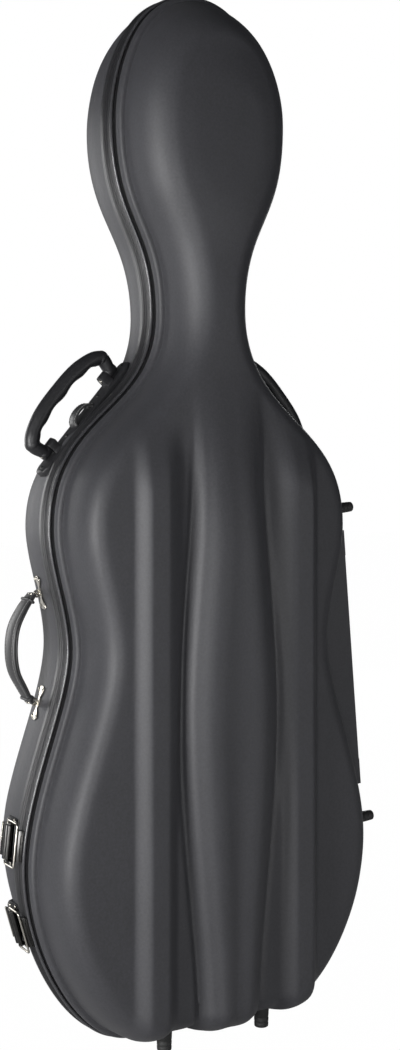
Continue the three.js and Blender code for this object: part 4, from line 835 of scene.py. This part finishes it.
for label, height in (("lower", 418), ("upper", 557)):
    eye = strap_eyes[label == "upper"]
    wall, facing = wall_spot(-1, height, 40)
    _, rim_basis = rim_axes(-1, height)
    bracket_axes = (wall, np.array([facing, np.cross(rim_basis[2], facing), rim_basis[2]]))
    name = "strap_bracket_" + label
    plate = prism(star_outline, 0.1, 1.7, "ylo")
    fitting(name + "_star", [plate], bracket_axes, "case_base", nickel, [name], bevel=0.5)
    bead(name + "_eye", [circle_path(eye, 3.8, strap_out, strap_axis)], 1.45, "case_base", nickel)
    corners = [(1.7, 7.4 * b, 17.4 * a) for a in (-1, 1) for b in (-1, 1)]
    spots = [(placed([corner], bracket_axes)[0], facing) for corner in corners]
    rivets(name + "_rivets", spots, "case_base", nickel)
    name = "strap_ring_" + label
    ring = circle_path(eye + 5 * strap_out, 5, strap_out, rear_way)
    bead(name + "_wire", [ring], 1.5, "side_strap", nickel, [name])


def smooth_path(knots, count):
    """Points along a curve that passes through the knots with even speed."""
    knots = [np.asarray(k, float) for k in knots]
    knots = [2 * knots[0] - knots[1]] + knots + [2 * knots[-1] - knots[-2]]
    spans = len(knots) - 3
    path = []
    for u in np.linspace(0, spans, count):
        i = min(int(u), spans - 1)
        p = knots[i:i + 4]
        steps = [max(np.linalg.norm(b - a), 1e-6) ** 0.5 for a, b in zip(p, p[1:])]
        times = np.concatenate([[0], np.cumsum(steps)])
        t = mix(times[1], times[2], u - i)
        a = [mix(p[k], p[k + 1], (t - times[k]) / (times[k + 1] - times[k])) for k in range(3)]
        b = [mix(a[k], a[k + 1], (t - times[k]) / (times[k + 2] - times[k])) for k in range(2)]
        path.append(mix(b[0], b[1], (t - times[1]) / (times[2] - times[1])))
    return np.array(path)


def path_turns(path):
    """Directions along a path and, in the X-Z plane, out from it."""
    along = np.gradient(path, axis=0)
    along /= np.linalg.norm(along, axis=1)[:, None]
    return along, np.stack([-along[:, 2], np.zeros(len(path)), along[:, 0]], 1)


strap_leather = grained_finish(
    "strap_leather", "strap_leather", (0.022, 0.022, 0.023), (0.044, 0.043, 0.044),
    0.4, 1300, 0.6, 0.35, specular=0.6,
)
thread = grained_finish(
    "strap_leather", "pale_thread", (0.16, 0.16, 0.155), (0.3, 0.3, 0.29), 0.7, 4000, 0.3, 0.2
)
strap_ends = [eye + (10 - 3.25) * strap_out for eye in strap_eyes]
middle_height = (strap_ends[0][2] + strap_ends[1][2]) / 2
half_rise = (strap_ends[1][2] - strap_ends[0][2]) / 2
strap_reach, strap_depth, strap_points = 226.5, 40, 72
bow = [(0.935, -0.72), (0.984, -0.4), (1, 0), (0.984, 0.4), (0.935, 0.72)]
bow = [(-share * strap_reach, strap_depth, middle_height + height * half_rise) for share, height in bow]
strap_path = smooth_path([strap_ends[0]] + bow + [strap_ends[1]], strap_points)
_, strap_off = path_turns(strap_path)
shares = np.clip(np.linspace(0, 1, strap_points), 0.02, 0.98)
fullness = np.sin(np.pi * shares) ** 0.35
thick = 6.5 * (0.24 + 0.36 * fullness)
wide = 28 * (0.3 + 0.2 * fullness)
quarter = [(1.12, 0), (1.07, 0.32), (0.93, 0.58), (0.84, 0.68), (0.93, 0.78), (0.9, 0.88)]
quarter += [(0.6, 0.98), (0.08, 0.98), (0, 0.93)]
section = quarter + [(-a, b) for a, b in quarter[-2::-1]]
section += [(-a, -b) for a, b in quarter[1:]] + [(a, -b) for a, b in quarter[-2:0:-1]]
rings = []
for centre, off, t, w in zip(strap_path, strap_off, thick, wide):
    rings.append([centre + a * t * off + b * w * rear_way for a, b in section])
make_piece("side_strap_leather", *loft(rings), "side_strap", strap_leather, ["handle_strap"], angle=70)
seams = []
for face in (-1, 1):
    for edge in (-1, 1):
        outward, rearward = face * 0.86 * thick, edge * 0.68 * wide
        seam = strap_path + strap_off * outward[:, None] + rear_way * rearward[:, None]
        seams.append(seam[6:-6])
stitches("side_strap_stitching", seams, 4.2, "side_strap", thread)
for label, share in (("lower", 4), ("upper", 66)):
    centre, out = strap_path[share], strap_off[share]
    collar = []
    for t in np.linspace(0, 2 * np.pi, 29):
        c, d = math.cos(t), math.sin(t)
        outward = thick[share] * 1.28 * np.sign(c) * abs(c) ** 0.5
        rearward = wide[share] * 1.1 * np.sign(d) * abs(d) ** 0.35
        collar.append(centre + out * outward + rear_way * rearward)
    collar[-1] = collar[0]
    bead("side_strap_keeper_" + label, [collar], 1.7, "side_strap", strap_leather)

# Shoulder handles: a moulded mount plate with two lugs on each shoulder, and a finger grip that
# turns on two steel pins. A stiff leather loop on the plate takes a carrying strap.
moulded = grained_finish(
    "handle_plastic", "moulded_handle", (0.01, 0.01, 0.011), (0.022, 0.022, 0.024),
    0.44, 1900, 0.45, 0.3, specular=0.45,
)
grip_span, grip_bow, pivot_stand, end_radius, plate_reach = 156, 37, 14, 7.5, 95
grip_end = grip_span / 2 - end_radius
lug_outer = grip_end - end_radius - 0.3
lug_arc = [(pivot_stand + 7 * math.sin(t), 7 * math.cos(t)) for t in np.linspace(0, np.pi, 15)]
lug_outline = [(2, 9.5), (5.4, 9.2), (7.5, 7.4)] + lug_arc + [(7.5, -7.4), (5.4, -9.2), (2, -9.5)]
grip_knots = [(0, -1), (0.55, -1.04), (0.9, -0.66), (1, 0), (0.9, 0.66), (0.55, 1.04), (0, 1)]
grip_knots = [(pivot_stand + s * grip_bow, 0, h * grip_end) for s, h in grip_knots]
boss_profile = [(-7.5, 5.6), (-7.1, 6.8), (-6, 7.5), (6, 7.5), (7.1, 6.8), (7.5, 5.6)]
loop_section = [(0.5, -1), (0.9, -0.97), (1, -0.85), (1.05, 0), (1, 0.85), (0.9, 0.97), (0.5, 1)]
loop_section += [(0.1, 0.97), (0, 0.85), (0, -0.85), (0.1, -0.97)]
for side, label in ((-1, "left"), (1, "right")):
    pivot, axis = joint_places[label + "_grip_swing"]
    axis = axis * np.sign(axis[2])
    out = np.array([side * axis[2], 0, -side * axis[0]])
    axes = (pivot - out * pivot_stand, np.array([out, np.cross(axis, out), axis]))
    heights = np.linspace(pivot[2] - 90, pivot[2] + 90, 61)
    wall = np.array([wall_spot(side, z, pivot[1])[0] for z in heights])
    local = (wall - axes[0]) @ axes[1].T
    rings = []
    for along in np.concatenate([[-95, -94.4, -93], np.linspace(-90, 90, 37), [93, 94.4, 95]]):
        edge = plate_reach - abs(along)
        half = 14 * (1 - 0.4 * max(0, 1 - edge / 11) ** 1.6)
        top = 5 - 1.6 * max(0, 1 - edge / 3) ** 2
        low = np.interp(along, local[:, 2], local[:, 0]) - 2.5
        r = 1.6
        shape = [(low, -half), (top - r, -half), (top - 0.45 * r, -half + 0.15 * r)]
        shape += [(top, -half + r), (top + 0.5, 0)]
        shape += [(a, -b) for a, b in shape[-2::-1]]
        rings.append([(a, b, along) for a, b in shape])
    parts = [loft(rings)]
    for middle in (lug_outer - 6, 6 - lug_outer):
        parts.append(prism(lug_outline, middle - 6, middle + 6, "oyl"))
    mount = [label + "_handle_mount"]
    fitting(label + "_handle_plate", parts, axes, "case_base", moulded, mount, bevel=0.7)
    screws = [(placed([(5.3, 0, a)], axes)[0], out) for a in (-87, -34, 34, 87)]
    rivets(label + "_handle_screws", screws, "case_base", dark_nickel)

    path = smooth_path(grip_knots, 121)
    rings = []
    for p, t, way in zip(path, np.linspace(0, 1, 121), path_turns(path)[0]):
        radius = mix(end_radius, 10.5, max(math.sin(math.pi * t), 0) ** 0.6)
        grip_part = float(ease(0.22, 0.28, t) * ease(0.78, 0.72, t))
        dip = 2.6 * grip_part * 0.5 * (1 - math.cos(2 * math.pi * 4 * (t - 0.22) / 0.56))
        lower_collar = ease(0.135, 0.15, t) * ease(0.185, 0.17, t)
        upper_collar = ease(0.815, 0.83, t) * ease(0.865, 0.85, t)
        collar = 0.8 * float(lower_collar + upper_collar)
        off = np.array([way[2], 0, -way[0]])
        ring = []
        for a in np.linspace(0, 2 * np.pi, 28, endpoint=False):
            c, d = math.cos(a), math.sin(a)
            reach = radius + collar - 0.25 * math.exp(-(d / 0.06) ** 2)
            inward = dip * max(-c, 0) ** 0.8
            sideways = np.array([0, reach * d * (1 - 0.06 * grip_part), 0])
            ring.append(p + off * ((reach - inward) * c) + sideways)
        rings.append(ring)
    parts = [loft(rings)]
    for end in (-1, 1):
        parts.append(turned_about_along(boss_profile, shift=(pivot_stand, 0, end * grip_end)))
    grip = label + "_handle_finger_grip"
    fitting(grip, parts, axes, label + "_grip", moulded, [label + "_handle_grip"], angle=55)
    for end, place in ((-1, "lower"), (1, "upper")):
        low, high = sorted((end * (lug_outer - 12.3), end * (grip_end + 7.8)))
        profile = [(low - 0.7, 1.8), (low - 0.3, 2.8), (low, 3), (high, 3)]
        profile += [(high + 0.3, 4.4), (high + 1, 4.2), (high + 1.5, 3), (high + 1.7, 1)]
        pin = turned_about_along(profile, shift=(pivot_stand, 0, 0))
        name = label + "_handle_pin_" + place
        fitting(name + "_turned", [pin], axes, label + "_grip", nickel, [name], angle=50)

    rings = []
    for t in np.linspace(0, np.pi, 33):
        outer = np.array([5.3 + 11 * math.sin(t), 0, 19 * math.cos(t)])
        inner = np.array([5.3 + 8 * math.sin(t), 0, 14.5 * math.cos(t)])
        rings.append([mix(inner, outer, u) + np.array([0, 9 * v, 0]) for u, v in loop_section])
    name = label + "_strap_loop"
    fitting(name + "_leather", [loft(rings)], axes, "case_base", strap_leather, [name], angle=60)
    turns = np.linspace(0.25, np.pi - 0.25, 25)
    seams = []
    for edge in (-1, 1):
        seam = [(5.4 + 11 * math.sin(t), 7.4 * edge, 19 * math.cos(t)) for t in turns]
        seams.append(placed(seam, axes))
    stitches(name + "_stitching", seams, 3.6, "case_base", thread)

# Draw latches on the left of the lower bout: a riveted plate on a moulded seat, a lever that turns
# in the plate's ears, and a wire bail that the lever draws over the keeper on the lid's edge.
lever_pivot, bail_pivot = (7, -13), (7, -19.5)
for label, height in (("upper", 253), ("lower", 148)):
    axes = rim_axes(-1, height)
    name = label + "_latch_"
    corner, end = 5.8, 29
    plan = [(-38.5 + corner, -end), (-38.5, -end + corner), (-38.5, end - corner)]
    plan += [(-38.5 + corner, end), (-9.5, end), (-9.5, -end)]
    seat = prism(plan, -7, 0.6, "ylo")
    fitting(name + "seat", [seat], axes, "case_base", moulded, bevel=0.6)
    plate = [prism([(y * 0.965 - 0.8, a * 0.965) for y, a in plan], 0.5, 1.8, "ylo")]
    for low in (21.3, -23.3):
        turns = np.linspace(-0.2, np.pi + 0.2, 15)
        ear = [(lever_pivot[0] + 3.6 * math.sin(t), lever_pivot[1] + 3.6 * math.cos(t)) for t in turns]
        plate.append(prism([(0.8, -7.6)] + ear + [(0.8, -18.4)], low, low + 2, "oyl"))
    fitting(name + "riveted_plate", plate, axes, "case_base", dark_nickel, [name + "plate"], bevel=0.45)
    spots = []
    for y, a in ((-29.5, -24.2), (-29.5, 24.2), (-35, 0), (-12.6, -26.2), (-12.6, 26.2)):
        spots.append((placed([(1.8, y, a)], axes)[0], axes[1][0]))
    rivets(name + "plate_rivets", spots, "case_base", nickel)
    blade = [(6.2, -12), (6, -19), (2.6, -33), (2.4, -37.6), (3.6, -39.8), (5.1, -39.6)]
    blade += [(4.9, -38.2), (4.1, -36.6), (4.5, -33), (8.1, -21), (8.2, -12)]
    rib = [(7.6, -22), (7.9, -24), (5.4, -31.5), (4.4, -32.5)]
    lever = [prism(blade, -20.4, 20.4, "oyl"), prism(rib, -12.5, 12.5, "oyl")]
    for profile, steps, pivot in (
        ([(-21, 3), (-20.6, 3.3), (20.6, 3.3), (21, 3)], 24, lever_pivot),
        ([(-21, 3.2), (-20.4, 3.7), (20.4, 3.7), (21, 3.2)], 24, bail_pivot),
        ([(-24.6, 1.2), (-24.2, 1.8), (24.2, 1.8), (24.6, 1.2)], 20, lever_pivot),
    ):
        lever.append(turned_about_along(profile, steps, (*pivot, 0)))
    body = label + "_lever"
    fitting(name + "pressed_lever", lever, axes, body, dark_nickel, [name + "lever"], bevel=0.4)
    lip = prism([(3.6, -40.3), (5.5, -40), (5.3, -38.2), (3.8, -38.8)], -20.6, 20.6, "oyl")
    fitting(name + "lever_lip", [lip], axes, body, nickel, bevel=0.4)
    arm = 26.6
    corners = [(*bail_pivot, 0), (*bail_pivot, arm), (8.2, 9.4, arm), (8.2, 9.4, -arm)]
    corners += [(*bail_pivot, -arm), (*bail_pivot, 0)]
    wire = placed(rounded_path(corners, 3.6), axes)
    wire[-1] = wire[0]
    bead(name + "wire_bail", [wire], 1.3, label + "_bail", nickel, [name + "bail"])
    hook = [(1.3, 7), (4.35, 5.8), (4.35, 0.9), (5.6, 1.2), (6.5, 2.6), (6.6, 9.6)]
    hook += [(5.6, 11.2), (3.4, 13), (2.9, 16), (1.3, 16.2)]
    step = [(2.6, 12.4), (4.2, 12.2), (4, 15.4), (2.6, 15.6)]
    claw = [prism(hook, -19, 19, "oyl"), prism(step, -13, 13, "oyl")]
    fitting(name + "keeper_hook", claw, axes, "lid", dark_nickel, [name + "keeper"], bevel=0.45)

# Rubber studs on the hinge side, on which the case is laid down, and the four feet on which it
# stands. Each is moulded with a flange and rings and is screwed on through its middle.
stud_rubber = grained_finish(
    "rubber", "foot_rubber", (0.011, 0.011, 0.011), (0.024, 0.024, 0.024), 0.62, 1500, 0.2, 0.12
)
for half, depth, body in (("lid", -72, "lid"), ("base", 62, "case_base")):
    for label, height in (("upper", 660), ("lower", 240)):
        axes = rim_axes(1, height, depth)
        seat = -8 if half == "lid" else -wall_inset(height, depth)
        profile = [(seat - 7, 7.4), (seat + 0.4, 7.8), (seat + 1.4, 8.6), (seat + 2.6, 8.6)]
        profile += [(seat + 3.2, 7.6), (6, 7.1), (6.5, 6.7), (7.6, 6.7), (8.1, 7.1), (12, 6.95)]
        profile += [(12.5, 6.5), (13.6, 6.5), (14.1, 6.9), (20.9, 6.6), (21.7, 6), (22, 5)]
        profile += [(22, 2.6), (20.6, 2.3), (20.6, 0.1)]
        name = half + "_stud_" + label
        fitting(name + "_rubber", [lathe(profile)], axes, body, stud_rubber, [name], angle=50)
for half, depth, body in (("lid", -78, "lid"), ("base", 50, "case_base")):
    for side, label in ((-1, "left"), (1, "right")):
        name = half + "_foot_" + label
        top = 1000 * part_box(name)[1].z - drawing_place[2] + 2
        axes = local_axes((side * 73, depth, 0), (0, 0, 1), (1, 0, 0), (0, 1, 0))
        profile = [(-6, 0.1), (-6, 3), (-7, 3.6), (-7, 8.2), (-6.3, 9), (-2.4, 9.3), (-1.7, 8.9)]
        profile += [(-0.6, 8.9), (0.1, 9.3), (4.4, 9.4), (4.9, 8.9), (6, 8.9), (6.5, 9.4), (top, 10.1)]
        fitting(name + "_rubber", [lathe(profile[::-1])], axes, body, stud_rubber, [name], angle=50)

# Soft parts inside: plush over foam, each swollen from a slightly smaller form so that it bulges
# between its edges. The neck cradle and the waist and shoulder pads hold the cello's body.
def soft_part(node, body, voxel, swell, pull_in):
    holder = put(node + "_blank", frame["nodes"][node].data.copy())
    remesh = holder.modifiers.new("even_skin", "REMESH")
    remesh.mode = "VOXEL"
    remesh.voxel_size = voxel / 1000
    soften = holder.modifiers.new("soften", "SMOOTH")
    soften.factor = 0.5
    soften.iterations = 3
    shrink = holder.modifiers.new("smaller_start", "DISPLACE")
    shrink.mid_level = 0
    shrink.strength = -pull_in / 1000
    base = final_mesh(holder)
    count = len(base.vertices)
    start = np.empty(count * 3)
    base.vertices.foreach_get("co", start)
    puffed = put(node + "_cloth", base.copy())
    cloth = puffed.modifiers.new("cloth", "CLOTH")
    cloth.settings.use_pressure = True
    cloth.settings.uniform_pressure_force = 4
    cloth.settings.effector_weights.gravity = 0
    cloth.settings.quality = 5
    cloth.point_cache.frame_start, cloth.point_cache.frame_end = 1, 20
    for step in range(1, 21):
        bpy.context.scene.frame_set(step)
    result = final_mesh(puffed)
    bpy.context.scene.frame_set(1)
    end = np.empty(count * 3)
    result.vertices.foreach_get("co", end)
    move = (end - start).reshape(-1, 3)
    length = np.linalg.norm(move, axis=1, keepdims=True)
    limited = move * np.minimum(1, swell / 1000 / np.maximum(length, 1e-9))
    start = (start.reshape(-1, 3) + limited).ravel()
    base.vertices.foreach_set("co", start)

    def add_smoothness(holder):
        smooth = holder.modifiers.new("smooth", "SUBSURF")
        smooth.levels = smooth.render_levels = 1

    return settled(node + "_plush", base, body, plush, [node], add_smoothness, 180)


for node, body, voxel, swell, pull_in, fill in (
    ("neck_cradle", "case_base", 5, 3, 1.6, 0.8),
    ("left_waist_pad", "case_base", 5, 4, 2.2, 0.7),
    ("right_waist_pad", "case_base", 5, 4, 2.2, 0.7),
    ("left_shoulder_pad", "case_base", 5, 4, 2.2, 0.7),
    ("right_shoulder_pad", "case_base", 5, 4, 2.2, 0.7),
    ("left_bow_block", "lid", 3, 1.5, 0.9, 0.9),
    ("right_bow_block", "lid", 3, 1.5, 0.9, 0.9),
):
    soft_part(node, body, voxel, swell, pull_in)

# Neck band: a webbing strip that turns at its left end over the cello's neck. It is edged and
# sewn along both of its long sides.
band_low, band_high = in_drawing(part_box("neck_strap"))
band_middle = (band_low + band_high) / 2
band_half = (band_high - band_low) / 2
rings = []
for share in np.linspace(-1, 1, 41):
    edge = band_half[0] * (1 - abs(share))
    tall = band_half[2] * (1 - 0.25 * max(0, 1 - edge / 6) ** 2)
    deep = band_half[1] * (1 - 0.4 * max(0, 1 - edge / 2) ** 2)
    shape = [(-0.5, -1), (-1, -0.94), (-0.8, -0.88), (-1, -0.8)]
    shape += [(a, -b) for a, b in shape[::-1]]
    shape += [(-a, -b) for a, b in shape]
    rings.append([band_middle + np.array([share * band_half[0], a * deep, b * tall]) for a, b in shape])
make_piece("neck_band_webbing", *loft(rings), "neck_band", strap_leather, ["neck_strap"])
seams = []
for edge in (-1, 1):
    run = np.linspace(-1, 1, 30) * (band_half[0] - 3)
    seams.append([band_middle + np.array([x, -band_half[1], edge * band_half[2] * 0.88]) for x in run])
stitches("neck_band_stitching", seams, 3.6, "neck_band", thread)

# Bow holders in the lid: a leather-faced catch turns on a stud beside each notched block, and a
# plush pocket below it takes the frog of the bow.
for label in ("left", "right"):
    node = label + "_bow_catch"
    low, high = in_drawing(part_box(node))
    pivot, _ = joint_places[label + "_catch_turn"]
    near, far = sorted((low[0], high[0]), key=lambda x: abs(x - pivot[0]))
    run, way = abs(far - near), np.sign(far - near)
    paddle = arc_points((6.5, 0), 6.4, 90, 270, 13) + arc_points((run - 5.2, 0), 5.2, -90, 90, 13)
    basis = np.array([(0, -1, 0), (way, 0, 0), (0, 0, 1)], float)
    axes = (np.array([near, high[1], (low[2] + high[2]) / 2]), basis)
    parts, body = [prism(paddle, 0.2, 3.6, "ylo")], label + "_catch"
    fitting(node + "_paddle", parts, axes, body, strap_leather, [node], bevel=0.9)
    shank = high[1] - low[1] - 0.3
    profile = [(-0.9, 0.3), (-0.8, 2.6), (-0.1, 3.4), (0.3, 3.5), (0.4, 2), (shank, 2)]
    axes = (np.array([pivot[0], high[1], pivot[2]]), basis)
    fitting(node + "_stud", [lathe(profile)], axes, body, nickel, angle=50)

    node = label + "_frog_pocket"
    low, high = in_drawing(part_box(node))
    half, centre_x = (high[0] - low[0]) / 2, (high[0] + low[0]) / 2

    def pocket_ring(z, inset, front, back):
        r, w = 6, half - inset
        corners = [(w - r, back - r, 0), (-w + r, back - r, 90)]
        corners += [(-w + r, front + r, 180), (w - r, front + r, 270)]
        shape = []
        for x, y, turn in corners:
            shape += [(*p, z) for p in arc_points((centre_x + x, y), r, turn, turn + 90, 7)]
        return shape

    front, back, top = low[1] + 0.4, high[1], high[2]
    outside = [(low[2] + 0.2, 3.5), (low[2] + 1, 1.2), (low[2] + 4, 0.2), (low[2] + 30, 0)]
    outside += [(top - 12, 0.5), (top - 4, 0.2), (top - 1.2, 0.2), (top, 1)]
    inside = [(top, 2.2), (top - 1.2, 3), (low[2] + 8, 3), (low[2] + 4, 5)]
    rings = [pocket_ring(z, inset, front + inset * 0.3, back - inset * 0.4) for z, inset in outside]
    rings += [pocket_ring(z, inset, front + 3, back - 3) for z, inset in inside]
    make_piece(node + "_plush", *loft(rings), "lid", plush, [node], angle=70)
    hem = pocket_ring(top - 7, 0, front, back - 0.2)
    stitches(node + "_stitching", [hem + hem[:1]], 3.8, "lid", ("plush", thread[1]))

# End pin cup at the bottom of the rear shell: a rubber-lined moulding. The cello's pin rests in it
# and keeps the body from sliding down.
low, high = in_drawing(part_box("endpin_cup"))
axes = local_axes(((low[0] + high[0]) / 2, (low[1] + high[1]) / 2, 0), (0, 0, 1), (1, 0, 0), (0, 1, 0))
bottom, top = low[2] + 9, high[2]
profile = [(bottom, 0.1), (bottom, 16.6), (top - 2.2, 17), (top - 0.8, 16.4), (top, 15), (top, 10.8)]
profile += [(top - 1.2, 9.4), (top - 14, 9), (top - 26, 8.6), (top - 27, 0.1)]
fitting("endpin_cup_moulding", [lathe(profile)], axes, "case_base", stud_rubber, ["endpin_cup"], angle=50)
